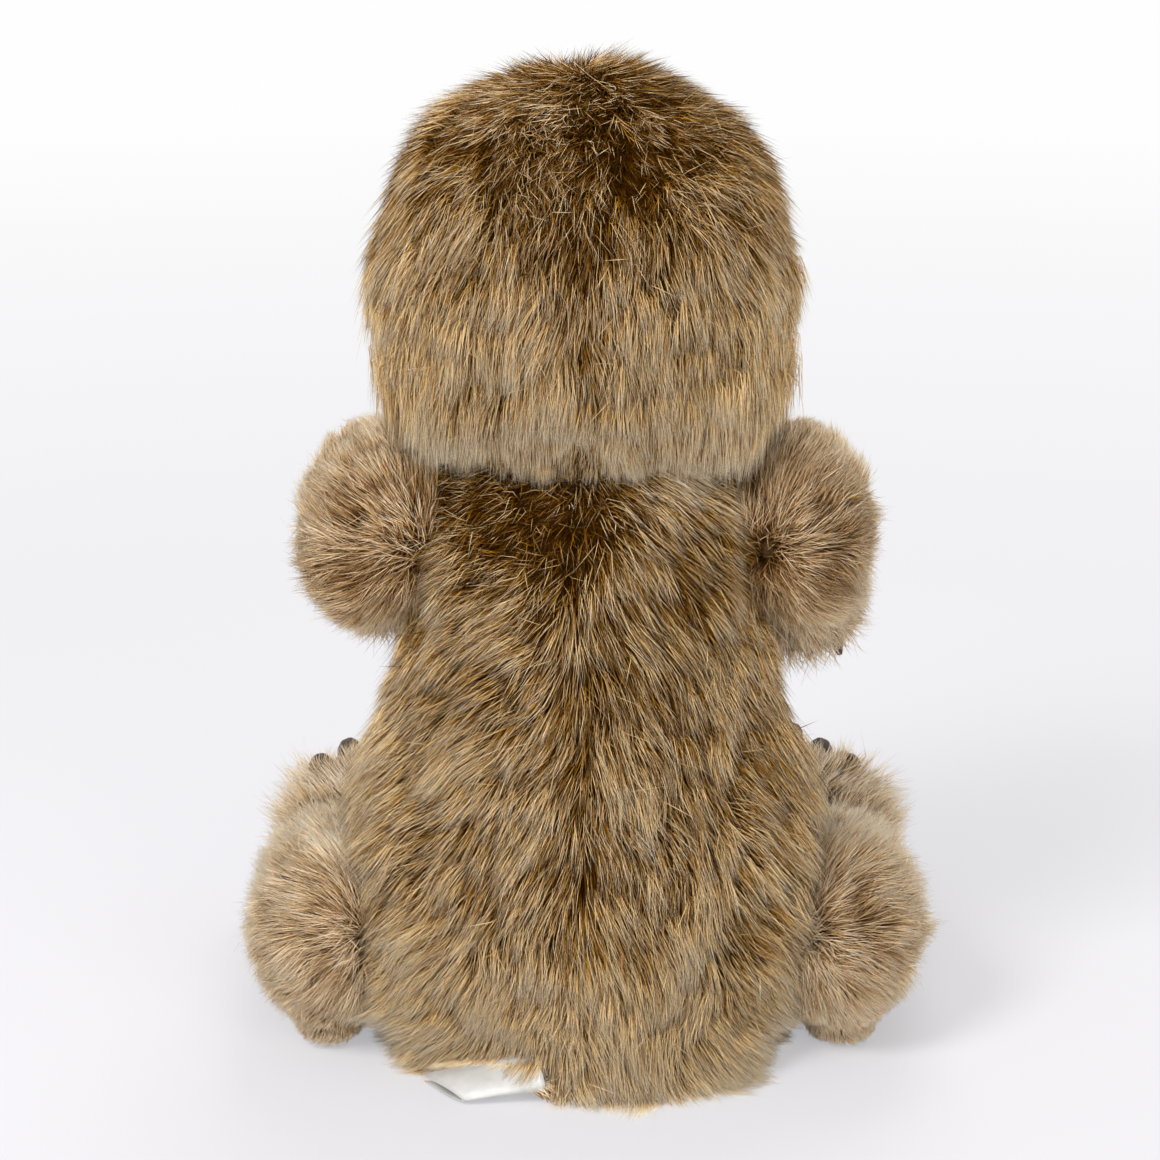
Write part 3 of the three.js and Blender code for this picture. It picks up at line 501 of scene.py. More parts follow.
def belongs(obj, body, slot, *replaced):
    """Says the body that a piece rides on and the CAD nodes that it stands for. slot is not used."""
    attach(obj, body)
    if replaced:
        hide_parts(*replaced)


def rounded(obj):
    round_off = obj.modifiers.new("round", "SUBSURF")
    round_off.levels = round_off.render_levels = 1


def set_map(obj, name, values):
    """Gives a piece its own map, from a pair of values at each point."""
    corners = read(obj.data.loops, "vertex_index", 1, np.int32)[:, 0]
    obj.data.uv_layers.new(name=name).data.foreach_set("uv", values.reshape(-1, 2)[corners].ravel())


# Stuffed forms

JOINT_RADIUS = {"neck_turn": 20 * MM, "shoulder": 15 * MM, "hip": 17.5 * MM}
PILE_ROOM = 4.5 * MM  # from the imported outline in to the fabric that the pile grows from
PRESSED_ROOM = 0.8 * MM
FACE_ROOM = 1.6 * MM  # how much less room the short plush of the face takes
FABRIC_VOXEL = 3.2 * MM
SWELL_FRAMES = 20
SWELL_PRESSURE = 4.0
MOST_SWELLING = 1.2 * MM
FACE_MIDDLE, FACE_HALF = middle_of("face_panel")


def joints_of(body):
    """(child, place, direction away from the torso, disc radius) for the joints that body has."""
    found = []
    for j in frame["joints"]:
        if body in (j["parent"], j["child"]):
            place, out = np.array(j["pos_m"]), np.array(j["axis"], float)
            if out @ (place + [0, 0, 1e-6]) < 0:
                out = -out
            if j["name"] == "neck_turn":
                out = UP
            radius = next(r for name, r in JOINT_RADIUS.items() if j["name"].startswith(name))
            found.append((j["child"], place, out, radius))
    return found


def about_joints(p, body):
    """For each joint of a body, how far points are along its axis and aside from it, and its disc radius."""
    for _, place, out, radius in joints_of(body):
        along = (p - place) @ out
        yield along, np.linalg.norm(p - place - along[:, None] * out, axis=1), radius


def pressed(p, body):
    """1 where fabric is held flat, at a joint or under the toy, and 0 where the pile is free."""
    flat = 1 - ease(p[:, 2], 1.5 * MM, 6 * MM)
    for along, aside, radius in about_joints(p, body):
        near = (1 - ease(np.abs(along), 2 * MM, 8 * MM)) * (1 - ease(aside, radius, radius + 9 * MM))
        flat = np.maximum(flat, near)
    return flat


def covered(p, body):
    """1 on the round patch where a limb or the head sits on the torso."""
    inside = np.zeros(len(p))
    for along, aside, radius in about_joints(p, body):
        inside = np.maximum(inside, (np.abs(along) < 5 * MM) * (aside < radius - 1 * MM))
    return inside


def seam_weight(p, body):
    """1 on the lines where the panels of a form are sewn together."""
    if body in ("torso", "head"):
        lines = np.minimum(np.abs(p[:, 0]), np.abs(p[:, 1] + 6 * MM))
    else:
        _, place, out, _ = joints_of(body)[0]
        lines = np.abs((p - place) @ out - 17 * MM)
    return 1 - ease(lines, 1.5 * MM, 4.5 * MM)


def swollen(points, quads, held):
    """Cloth simulation: the form is blown up by its stuffing and held along its seams."""
    obj = make("swelling", points, quads)
    group = obj.vertex_groups.new(name="seams")
    for k in np.flatnonzero(held > 0.02):
        group.add([int(k)], float(held[k]), "REPLACE")
    cloth = obj.modifiers.new("stuffing", "CLOTH")
    s = cloth.settings
    s.quality = 4
    s.mass = 0.25
    s.vertex_group_mass = "seams"
    s.tension_stiffness = s.compression_stiffness = 12
    s.shear_stiffness = 6
    s.bending_stiffness = 0.4
    s.use_pressure = True
    s.uniform_pressure_force = SWELL_PRESSURE
    s.effector_weights.gravity = 0
    cloth.collision_settings.use_collision = False
    scene = bpy.context.scene
    for number in range(1, SWELL_FRAMES + 1):
        scene.frame_set(number)
    mesh = obj.evaluated_get(bpy.context.evaluated_depsgraph_get()).data
    move = read(mesh.vertices, "co", 3) - points
    scene.frame_set(1)
    discard(obj)
    size = np.linalg.norm(move, axis=1, keepdims=True)
    return points + move * np.minimum(1, MOST_SWELLING / np.maximum(size, 1e-9))


def face_reach(p):
    """How far out points are on the oval of the face, 1 on its outline."""
    return np.hypot((p[:, 0] - FACE_MIDDLE[0]) / FACE_HALF[0], (p[:, 2] - FACE_MIDDLE[2]) / FACE_HALF[2])


def on_face(p):
    """1 on the oval of the face, 0 away from it."""
    return (1 - ease(face_reach(p), 0.94, 1.04)) * (p[:, 1] < -10 * MM)


def stuffed(body, nodes):
    """The fabric skin of a body, inside its packed outline by the room that the pile takes."""
    parts = [node_mesh(*nodes)]
    for child, place, out, _ in joints_of(body):
        joint = child.replace("head", "neck") + "_joint_"
        if body == "torso":
            parts.append(hull(node_mesh(joint + "disc", joint + "lock")[0]))
        else:
            stem = node_mesh(joint + "stem")[0]
            parts.append(hull(stem[(stem - place) @ out > 0.4 * MM]))
    points, quads = remeshed(*joined(parts), FABRIC_VOXEL)
    edges = edges_of(quads)
    points = relaxed(points, edges, 12)
    room = PRESSED_ROOM + (PILE_ROOM - PRESSED_ROOM) * (1 - pressed(points, body))
    if body == "head":
        room = room - FACE_ROOM * on_face(points)
    for _ in range(3):
        points = points - normals_of(points, quads) * room[:, None] / 3
        points = relaxed(points, edges, 2)
    held = np.maximum(seam_weight(points, body), pressed(points, body))
    points = relaxed(swollen(points, quads, held), edges, 2)
    points[:, 2] = np.maximum(points[:, 2], 0.6 * MM)
    return Form(points, quads)


forms = {}
for body in ("torso", "head", *LIMBS):
    nodes = [f"{body}_skin", f"{body}_stuffing"]
    extra = {"torso": ["pellet_bag"], "head": ["face_panel"]}.get(body, [f"{body}_pad"])
    form = forms[body] = stuffed(body, nodes + extra)
    obj = dress(make(f"{body}_fabric", form.points, form.quads), BACKING)
    rounded(obj)
    belongs(obj, body, "fur", *nodes)


# Pile

STRAND_FACES = np.array([(0, 2, 1), (0, 3, 2), (0, 1, 3), (1, 2, 4), (2, 3, 4), (3, 1, 4)])
BEND = 0.45  # where a strand bends and is thickest, along its length
ROOT_DEPTH = 0.5 * MM  # how far a strand starts inside the fabric
FABRIC_ROOM = 0.8 * MM  # least height of a bend or tip over the fabric
FLOOR_ROOM = 0.4 * MM
FUZZ_SHARE = 0.2  # of the guard hairs
STRAY_TURN, FUZZ_TURN, COMBED_TURN, MATTED_TURN = 0.6, 0.35, 0.14, 0.8  # away from the comb, in radians
FUZZ_THICK, GUARD_THICK, UNDER_THICK = 0.85, 1.55, 1.1
# UNDER_SHADE darkens the underfur, partly its own colour and partly painted shade between the guard hairs.
DARKEST, GUARD_SHADE, UNDER_SHADE = 0.02, 0.24, -0.22
GOLD_SHADES = (0.92, 0.98)  # the golden end of a coat's range


def strand_mesh(name, path, normals, radius, shade):
    """Closed three-sided strands with a point at each end. path is the root, bend and tip of each."""
    n = path.shape[1]
    way = unit(path[2] - path[0])
    side = unit(np.cross(way, normals))
    up = np.cross(side, way)
    points, uv = np.empty((n, 5, 3), np.float32), np.empty((n, 5, 2), np.float32)
    points[:, 0], points[:, 4] = path[0], path[2]
    uv[:, :, 0] = shade[:, None] + 0.002 * np.array([1, 0, 1, 2, 1])
    uv[:, :, 1] = (0, BEND, BEND, BEND, 1)
    for j in range(3):
        angle = math.pi / 2 + TURN * j / 3
        points[:, 1 + j] = path[1] + radius[:, None] * (math.cos(angle) * side + math.sin(angle) * up)
    corners = (STRAND_FACES[None] + 5 * np.arange(n)[:, None, None]).ravel().astype(np.int32)
    mesh = bpy.data.meshes.new(name)
    mesh.vertices.add(5 * n)
    mesh.vertices.foreach_set("co", points.ravel())
    mesh.loops.add(len(corners))
    mesh.loops.foreach_set("vertex_index", corners)
    mesh.polygons.add(len(corners) // 3)
    mesh.polygons.foreach_set("loop_start", np.arange(0, len(corners), 3, dtype=np.int32))
    flat_uv = uv.reshape(-1, 2)[corners].ravel()
    # the second is what the export paints by
    for layer in ("strand", "OFBake"):  # the second is a copy of the first, under its own name
        mesh.uv_layers.new(name=layer).data.foreach_set("uv", flat_uv)
    mesh.update(calc_edges=True)
    mesh.shade_smooth()
    return add(name, mesh)


def nearest_of(points, picked):
    """For each point, which of the picked ones is nearest."""
    tree = KDTree(len(picked))
    for k, p in enumerate(points[picked].tolist()):
        tree.insert(p, k)
    tree.balance()
    return np.array([tree.find(p)[1] for p in points.tolist()])


def pile(name, body, form, count, where, style, seed, material, slot):
    """count strands on the part of a form that where() keeps, combed as style says."""
    rng = np.random.default_rng(seed)
    corners = form.triangles
    a, b, c = (form.points[corners[:, k]] for k in range(3))
    across = np.cross(b - a, c - a)
    weight = np.linalg.norm(across, axis=1) * where((a + b + c) / 3, unit(across))
    face = rng.choice(len(corners), count, p=weight / weight.sum())
    s, t = np.sqrt(rng.random(count)), rng.random(count)
    share = np.stack([1 - s, s * (1 - t), s * t], axis=1)
    root = (form.points[corners[face]] * share[:, :, None]).sum(1)
    normal = unit((form.normals[corners[face]] * share[:, :, None]).sum(1))
    area = weight.sum() / 2

    # Locks: strands lean towards a shared middle, wide ones first and then fine ones.
    locks = []
    for spacing, pull in style["locks"]:
        picked = rng.choice(count, min(count, max(8, int(area / spacing**2))), replace=False)
        which = nearest_of(root, picked)
        pulls = pull * rng.uniform(0.4, 1.0, len(picked))[which]
        locks.append((picked[which], pulls, rng.normal(size=(len(picked), 3))[which]))
    lock, wisp = locks[0][2], locks[1][2]

    # Light guard hairs lie over shorter, darker underfur, and a few of them stand off as fuzz or strays. The
    # underfur's dark is partly its own colour and partly painted shade between the guard hairs.
    guard = rng.random(count) < style["guard"]
    fuzz = guard & (rng.random(count) < FUZZ_SHARE)
    stray = guard & (rng.random(count) < style["strays"])
    length = style["length"](root) * (1 + 0.1 * lock[:, 0]) * rng.uniform(0.85, 1.15, count)
    length = np.where(guard, length, length * rng.uniform(0.6, 0.9, count))
    loose = np.where(stray, STRAY_TURN, np.where(fuzz, FUZZ_TURN, COMBED_TURN))
    loose = loose + MATTED_TURN * style["matted"](root)
    turn = 0.12 * lock[:, 1] + 0.06 * wisp[:, 0] + loose * rng.normal(size=count)
    lift = np.clip(1 + 0.1 * lock[:, 2] + 0.1 * wisp[:, 1] + 0.2 * rng.normal(size=count), 0.35, 1.8)
    lift = lift * np.where(guard, 1.15, 0.72) * np.where(stray | fuzz, 1.3, 1) * style["lift"](root)

    at, up, path = root, normal, [root - normal * ROOT_DEPTH]
    for part, angle in zip((BEND, 1 - BEND), style["angles"]):
        flow = unit(style["flow"](at))
        hang = style["hang"](at)[:, None]
        lay = unit(unit(flow - up * dot(flow, up)) * (1 - hang) + flow * hang)
        lay = turned_about(lay, up, turn)
        rise = (math.radians(angle) * lift)[:, None]
        at = at + unit(lay * np.cos(rise) + up * np.sin(rise) * (1 - 0.4 * hang)) * (length * part)[:, None]
        under_it, up = form.nearest(at)
        at = at + up * np.maximum(0, FABRIC_ROOM - dot(at - under_it, up))
        path.append(at)
    path = np.stack(path)
    for centre, pull, _ in locks:
        for k, t in ((1, BEND), (2, 1.0)):
            path[k] += (pull * t**1.3 * np.where(stray, 0.2, 1))[:, None] * (path[k][centre] - path[k])
    path = style["clear"](path)
    path[:, :, 2] = np.maximum(path[:, :, 2], FLOOR_ROOM)
    vary = style["vary"]
    shade = style["shade"](root)
    shade = shade + vary * (0.2 * rng.normal(size=count) + 0.07 * lock[:, 0] + 0.15 * wisp[:, 0])
    shade = shade + vary * np.where(guard, GUARD_SHADE, UNDER_SHADE)
    shade = np.clip(shade, DARKEST, style["lightest"])
    shade = np.where(rng.random(count) < style["gold"](root), rng.uniform(*GOLD_SHADES, count), shade)
    thick = np.where(fuzz, FUZZ_THICK, np.where(guard, GUARD_THICK, UNDER_THICK))
    radius = style["radius"] * rng.uniform(0.8, 1.2, count) * thick
    belongs(dress(strand_mesh(name, path, normal, radius, shade), material), body, slot)


def nowhere(p):
    return np.zeros(len(p))


FUR_STYLE = {  # what the furs share, unless their own style says otherwise
    "hang": nowhere,
    "guard": 0.32,
    "vary": 1.45,
    "strays": 0.02,
    "gold": lambda p: 0.01 + nowhere(p),
    "clear": lambda path: path,
    "radius": 0.075 * MM,
}

# The label's ribbon from its upper seam over the fold to its lower seam, along its two edges, in mm.
LABEL_LEFT = (
    (42, 33, 2.6), (39.5, 39, 3.2), (35, 44.5, 3), (31.5, 47.5, 1.7), (35.5, 42.5, 0.9), (42, 33, 0.9)
)
LABEL_RIGHT = (
    (17, 37, 10.6), (14.5, 41, 11.2), (11.5, 45.5, 9.2), (10.5, 48, 5.8), (12.5, 44, 3), (17, 37, 2.4)
)
LABEL_FOLD = 3  # which of these points is on the fold


def clear_of_label(path):
    """Keeps the pile on top of the label."""
    x, y = path[:, :, 0] / MM, path[:, :, 1] / MM
    seam, fold = LABEL_LEFT[0], LABEL_LEFT[LABEL_FOLD]
    out = np.clip((y - seam[1]) / (fold[1] - seam[1]), 0, 1)
    left = seam[0] + (fold[0] - seam[0]) * out
    right = LABEL_RIGHT[0][0] + (LABEL_RIGHT[LABEL_FOLD][0] - LABEL_RIGHT[0][0]) * out
    across = np.clip((left - x) / (left - right), 0, 1)
    top = (3.8 + 7.6 * across) * (1 - 0.35 * ease(out, 0.7, 1.0))
    over = (x < left + 1) & (x > right - 1) & (y > seam[1] - 2)
    path[:, :, 2] = np.where(over, np.maximum(path[:, :, 2], top * MM), path[:, :, 2])
    return path


# Torso: combed down, and outwards from the seam of the back, more so on the left and towards the shoulders.
# It spreads sideways over the roots of the arms and legs.
# The seam spots carry painted shade of the seam's parting, as well as shorter pile.
SEAM_SPOTS = ((3, 40, 142), (6, 45, 120), (5, 47, 103), (4, 50, 71))  # dark places on the back's seam, in mm


def at_shoulder(p):
    return ease(np.abs(p[:, 0]), 18 * MM, 32 * MM) * ease(p[:, 2], 0.124, 0.142)


def at_hip(p):
    return ease(np.abs(p[:, 0]), 26 * MM, 44 * MM) * (1 - ease(p[:, 2], 0.075, 0.1))


def at_floor(p):
    """1 along the bottom edge, where the pile spreads out on the floor, 0 above it."""
    return fade(p[:, 2], 0.01, 0.028)


def from_seam(p):
    """How far points are to the left of the seam of the back."""
    return p[:, 0] - 2 * MM + 4 * MM * wander(p, 45, 3)


def seam_spots(p):
    return sum(bump_at(p, spot, 13) for spot in SEAM_SPOTS)


def nape(p):
    """1 in the dark matted place under the head, 0 away from it. Where it darkens the pile, that is partly
    painted shadow of the head.
    """
    reach = np.hypot((p[:, 0] - 14 * MM) / (31 * MM), (p[:, 2] - 0.152) / (25 * MM))
    return (1 - ease(reach, 0.25, 1.0)) * (p[:, 1] > 0)


def torso_flow(p):
    x = p[:, 0]
    height = np.clip(p[:, 2] / 0.155, 0, 1.1)
    out = np.tanh(from_seam(p) / (13 * MM)) * (0.1 + 1.4 * height**1.5) * np.where(x > 0, 1.3, 0.38)
    out = out + np.sign(x) * (0.5 * at_shoulder(p) + 0.75 * at_hip(p))
    out = out + 0.26 * wander(p, 38, 5) + 0.1 * wander(p, 15, 6)
    away = unit(p * np.array([1, 1, 0]))
    return np.stack([out, 0 * out, -np.ones(len(p))], axis=1) + 1.1 * at_floor(p)[:, None] * away


def torso_length(p):
    x, y, z = p.T
    long = 15.5 * MM + 1.5 * MM * wander(p, 30, 7)
    fringe = 5.5 * MM * np.exp(-(((x + 19 * MM) / (26 * MM)) ** 2))
    fringe = fringe - 6 * MM * ease(x, 30 * MM, 48 * MM) - 10 * MM * ease(-x, 27 * MM, 46 * MM)
    long = long + at_floor(p) * fringe
    band = ease(np.abs(x), 29 * MM, 38 * MM) * ease(z, 0.112, 0.124) * (1 - ease(z, 0.15, 0.158))
    long = long * (1 - 0.5 * band * (y > 0))
    long = long * (1 - 0.4 * nape(p)) * (1 - 0.25 * seam_spots(p)) * (1 + 0.25 * at_hip(p))
    return long * (1 - 0.6 * bump_at(p, (27, 40, 12), 26))  # shorter above the label


def torso_hang(p):
    return np.maximum(0.6 * at_floor(p), 0.8 * at_shoulder(p) * ease(p[:, 2], 0.144, 0.156))


def torso_lift(p):
    return 1 + 0.35 * at_hip(p) + 0.3 * at_shoulder(p) + 0.8 * bump_at(p, (50, 10, 96), 28)


def torso_shade(p):
    """Dark under the head and along the back's seam, painted shadow and shade; light near the floor, painted
    light.
    """
    x, y, z = p.T
    shade = 0.29 + 0.1 * wander(p, 45, 8) + 0.07 * wander(p, 14, 9)
    # Lighter on the toy's left, painted light from the lamp on that side; darker high up, painted shadow of
    # the head.
    shade = shade + 0.1 * np.tanh(x / (30 * MM)) - 0.07 * ease(z, 0.09, 0.13)
    # Painted shadow of the head over the matted nape, and painted shade at the dark spots of the back's
    # seam.
    shade = shade - 0.5 * nape(p) - 0.24 * seam_spots(p)
    # Lighter towards the floor, painted light.
    shade = shade + 0.11 * fade(z, 0.05, 0.1) + 0.56 * fade(z, 0.022, 0.052)
    # Darker at the edge of the shoulder, painted shade in the crease by the arm.
    shade = shade - 0.2 * at_shoulder(p) * ease(np.abs(x), 30 * MM, 38 * MM)
    # Darker along the seam of the back, painted shade in its parting.
    return shade - 0.14 * (y > 0) * (1 - ease(np.abs(from_seam(p)), 1 * MM, 8 * MM)) * ease(z, 0.04, 0.08)


def torso_gold(p):
    edge = ease(np.abs(p[:, 0]), 0.033, 0.039) * ease(p[:, 2], 0.115, 0.13)
    return 0.015 + 0.35 * edge + 0.3 * (bump_at(p, (-1, 48, 52), 11) + bump_at(p, (38, 36, 26), 11))


TORSO_STYLE = FUR_STYLE | {
    "flow": torso_flow,
    "hang": torso_hang,
    "length": torso_length,
    "lift": torso_lift,
    "matted": nape,
    "angles": (40, 13),
    "locks": ((6 * MM, 0.28), (0.8 * MM, 0.45)),
    "shade": torso_shade,
    "gold": torso_gold,
    "lightest": 0.86,
    "clear": clear_of_label,
}

# Head: turns out from the crown, then falls straight and hangs over the neck.
WHORL = np.array([1 * MM, 8 * MM, 262 * MM])


def crown(p):
    """1 on the matted top of the head, 0 below it."""
    return ease(p[:, 2] + 4 * MM * wander(p, 40, 16), 0.223, 0.236)


def near_face(p):
    return (1 - ease(face_reach(p), 1.0, 1.45)) * (p[:, 1] < 0)


def head_flow(p):
    x, z = p[:, 0], p[:, 2]
    out = unit(p - WHORL)
    fall = fade(z, 0.205, 0.243)[:, None]
    part = 0.14 * np.tanh(x / (6 * MM)) + 0.16 * wander(p, 30, 11) + 0.12 * wander(p, 13, 17)
    part = part - 0.22 * x / 0.045 * fade(z, 0.19, 0.21)
    down = np.stack([part, 0 * part, -np.ones(len(p))], axis=1)
    aside = 0.35 * wander(p, 22, 12)[:, None] * np.array([1, 0, 0])
    return out * (1 - fall) + down * fall + aside * (1 - fall)


def head_length(p):
    x, y, z = p.T
    long = 15 * MM + 1.5 * MM * wander(p, 28, 13)
    long = long * (1 - 0.1 * crown(p)) - 4 * MM * fade(z, 0.172, 0.19)
    long = long - 3 * MM * (1 - ease(np.abs(x - 2 * MM), 0, 9 * MM)) * fade(z, 0.18, 0.2) * (y > 0)
    fringe = ease(np.abs(x), 18 * MM, 40 * MM) * fade(z, 0.182, 0.2) * ease(y, -0.02, 0.005)
    side = ease(-x, 36 * MM, 48 * MM) * ease(z, 0.19, 0.2)
    return (long + 7 * MM * fringe - 3 * MM * side) * (1 - 0.35 * near_face(p))


def head_shade(p):
    """Dark on the back of the crown, lighter down to the neck with painted light low down, and light again
    over the top edge.
    """
    x, y, z = p.T
    shade = 0.46 + 0.09 * wander(p, 40, 14) + 0.07 * wander(p, 13, 15)
    high = ease(z + 3 * MM * wander(p, 40, 16), 0.202, 0.238)
    rim = (0.6 - 0.25 * np.tanh(x / (20 * MM))) * ease(-y, -0.005, 0.016)
    shade = shade - 0.56 * high * (1 - rim)
    # Lighter low on the head, painted light.
    shade = shade + 0.15 * fade(z, 0.175, 0.205)
    # Darker along the seam of the back of the head, painted shade in its parting.
    seam = np.abs(x + 3 * MM * wander(p, 50, 18))
    return shade - 0.15 * (y > 0) * (1 - ease(seam, 1 * MM, 6 * MM)) * (1 - crown(p))


def head_lift(p):
    return 1 + 0.35 * crown(p) + 0.35 * ease(p[:, 2] + 0.3 * np.abs(p[:, 0]), 0.24, 0.256)


HEAD_STYLE = FUR_STYLE | {
    "flow": head_flow,
    "hang": lambda p: 0.95 * fade(p[:, 2], 0.185, 0.205),
    "length": head_length,
    "lift": head_lift,
    "matted": lambda p: 0.6 * crown(p) * (p[:, 1] > 0),
    "angles": (42, 14),
    "locks": ((5.5 * MM, 0.26), (0.8 * MM, 0.45)),
    "shade": head_shade,
    "lightest": 0.8,
}

# Limbs: the pile turns out from the back of the root, at the crease, and runs to the paw.
POLES = {  # where each crease is, in mm
    "arm_left": (40, 17, 137),
    "arm_right": (-43, 20, 138),
    "leg_left": (46, 28, 38),
    "leg_right": (-51, 28, 39),
}


def limb_style(body):
    arm = body.startswith("arm")
    pole = forms[body].nearest(np.array([POLES[body]]) * MM)[0][0]
    full = 0.7 if body == "leg_left" else 0.95
    # darkest and rise set the painted shade at the crease and the painted light away from it.
    short, darkest, rise = (0.9, 0.14, 0.57) if arm else (1.0, 0.3, 0.53)

    def flow(p):
        loose = 0.2 * wander(p, 26, 21) + 0.2 * wander(p, 11, 24)
        return unit(p - pole) + loose[:, None] * UP + np.array([0, 0, -0.12])

    def length(p):
        x, y, z = p.T
        long = short * (14 * MM + 1.2 * MM * wander(p, 24, 22)) * (1 - 0.3 * ease(-y, 0.07, 0.1))
        if not arm:
            return long * (1 - 0.7 * fade(z, 0.008, 0.036)) * (1 + full * foot_side(p))
        under = fade(z, 0.104, 0.122) * ease(y, -0.055, -0.03)
        outer = ease(np.abs(x), 0.056, 0.068)
        corner = outer * fade(z, 0.114, 0.13)
        if body == "arm_left":
            under = 0.5 * under * (1 - outer) - 0.45 * corner
        else:
            under = 0.6 * under - 0.2 * corner
        return long * (1 - 0.35 * ease(z, 0.15, 0.165) + under)

    def foot_side(p):
        if arm:
            return nowhere(p)
        x, y, z = p.T
        return ease(z, 0.014, 0.026) * ease(np.abs(x), 0.066, 0.078) * ease(-y, 0.055, 0.085)

    def from_pole(p):
        return np.linalg.norm(p - pole, axis=1)

    def shade(p):
        # Darker at the crease by the torso, painted shade, and lighter away from it, painted light.
        away = ease(from_pole(p), 9 * MM, 42 * MM)
        return darkest + rise * away + 0.07 * wander(p, 26, 23) + 0.05 * wander(p, 10, 25)

    return FUR_STYLE | {
        "flow": flow,
        "length": length,
        "lift": lambda p: 1 + 0.6 * full * foot_side(p),
        "matted": lambda p: 0.6 * (1 - ease(from_pole(p), 0, 16 * MM)),
        "angles": (42, 17),
        "locks": ((4.5 * MM, 0.14), (0.85 * MM, 0.32)),
        "guard": 0.4,
        "vary": 0.9,
        "shade": shade,
        "lightest": 0.84,
    }


def free(body, patches=()):
    """How much pile grows at a place on a form: none where it is pressed, or under a pad or the face."""
    trees = [BVHTree.FromPolygons(*(m.tolist() for m in node_mesh(n))) for n in patches]

    def share(middle, facing):
        grows = (1 - covered(middle, body)) * (1 - (facing[:, 2] < -0.7) * (middle[:, 2] < 4 * MM))
        for tree in trees:
            for k in np.flatnonzero(grows):
                start = Vector(middle[k] - facing[k] * MM)
                if tree.ray_cast(start, Vector(facing[k]), 11 * MM)[0] is not None:
                    grows[k] = 0
        return grows

    return share


def on_part(grows, kept):
    """Only the part of a form where kept() holds."""
    return lambda middle, facing: grows(middle, facing) * kept(middle)


PANELS = (  # name, what it keeps, strands on each side of the torso, strands on each side of the head
    ("back_upper", lambda p, split: (p[:, 1] >= 0) & (p[:, 2] >= split), 32000, 25000),
    ("back_lower", lambda p, split: (p[:, 1] >= 0) & (p[:, 2] < split), 32500, 32500),
    ("front", lambda p, split: p[:, 1] < 0, 27500, 23000),
)
ARM_STRANDS, LEG_STRANDS = (24000, 25500), (30500, 30500)  # on the root and on the paw
COATED = (  # body, where pile grows, level between upper and lower, style, its strands in a row of PANELS
    ("torso", free("torso"), 82 * MM, TORSO_STYLE, 2),
    ("head", free("head", ["face_panel"]), 215 * MM, HEAD_STYLE, 3),
)
seed = 100
for side, sign in SIDES:
    for panel in PANELS:
        seed += 2
        for later, (body, grows, split, style, column) in enumerate(COATED):
            where = on_part(grows, lambda p: panel[1](p, split) * (p[:, 0] * sign >= 0))
            name = f"{body}_fur_{panel[0]}_{side}"
            pile(name, body, forms[body], panel[column], where, style, seed + later, COAT, "fur")
for body in LIMBS:
    grows = free(body, [f"{body}_pad"])
    style = limb_style(body)
    counts = ARM_STRANDS if body.startswith("arm") else LEG_STRANDS
    for name, sign, count in (("root", 1, counts[0]), ("paw", -1, counts[1])):
        seed += 1
        where = on_part(grows, lambda p: p[:, 1] * sign >= 0)
        pile(f"{body}_fur_{name}", body, forms[body], count, where, style, seed, LIMB_COAT, "fur")


# Face

def soft_node(node, body, voxel, rounds, material, slot, grow=0.0, under=None):
    """A stuffed or felted piece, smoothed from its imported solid. A shank's hole closes under its piece."""
    solid = node_mesh(node)
    if under:
        aside = (solid[0] - middle_of(under)[0])[:, [0, 2]]
        solid = joined([solid, hull(solid[0][np.linalg.norm(aside, axis=1) < 7 * MM])])
    points, quads = remeshed(*solid, voxel)
    points = relaxed(points, edges_of(quads), rounds)
    points = points + normals_of(points, quads) * grow
    obj = dress(make(f"{node}_soft", points, quads), material)
    rounded(obj)
    belongs(obj, body, slot, node)
    return Form(points, quads)


NOSE_PLACE = np.array([0, -70, 194]) * MM
HEAD_MIDDLE = np.array([0, 0, 0.2])
SHORT_STYLE = FUR_STYLE | {
    "flow": lambda p: p - NOSE_PLACE,
    "length": lambda p: 3.6 * MM + 0.4 * MM * wander(p, 12, 31),
    "lift": lambda p: np.ones(len(p)),
    "matted": nowhere,
    "angles": (64, 44),
    "locks": ((1.6 * MM, 0.4), (0.8 * MM, 0.4)),
    "guard": 0.5,
    "vary": 0.7,
    "shade": lambda p: 0.5 + 0.1 * wander(p, 12, 32),
    "gold": nowhere,
    "lightest": 0.98,
    "radius": 0.11 * MM,
}
PATCH_STYLE = SHORT_STYLE | {"length": lambda p: 2.4 * MM + nowhere(p)}
FACE_STRANDS, PATCH_STRANDS = 12000, 5000


def outer_side(middle, facing):
    """Only the side of a face piece that looks out."""
    return (dot(facing, unit(middle - HEAD_MIDDLE))[:, 0] > 0.35).astype(float)


def plush_grows(middle, facing):
    """Only where no patch, eye or nose lies on the face."""
    kept = outer_side(middle, facing)
    for node in ("eye_patch_left", "eye_patch_right", "nose", "eye_left", "eye_right"):
        low, high = (np.array(c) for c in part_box(node))
        aside = (middle - (low + high) / 2) / (high - low)
        kept = kept * (np.hypot(aside[:, 0], aside[:, 2]) > (0.38 if node == "nose" else 0.5))
    return kept


face = soft_node("face_panel", "head", 1.5 * MM, 6, PLUSH, "plush", under="nose")
pile("face_plush_pile", "head", face, FACE_STRANDS, plush_grows, SHORT_STYLE, 301, PLUSH_PILE, "plush")
for side, sign in SIDES:
    node = f"eye_patch_{side}"
    patch = soft_node(node, "head", 0.9 * MM, 5, FELT, "felt")
    count, seed = PATCH_STRANDS, 302 + sign
    pile(f"{node}_pile", "head", patch, count, outer_side, PATCH_STYLE, seed, FELT_PILE, "felt")


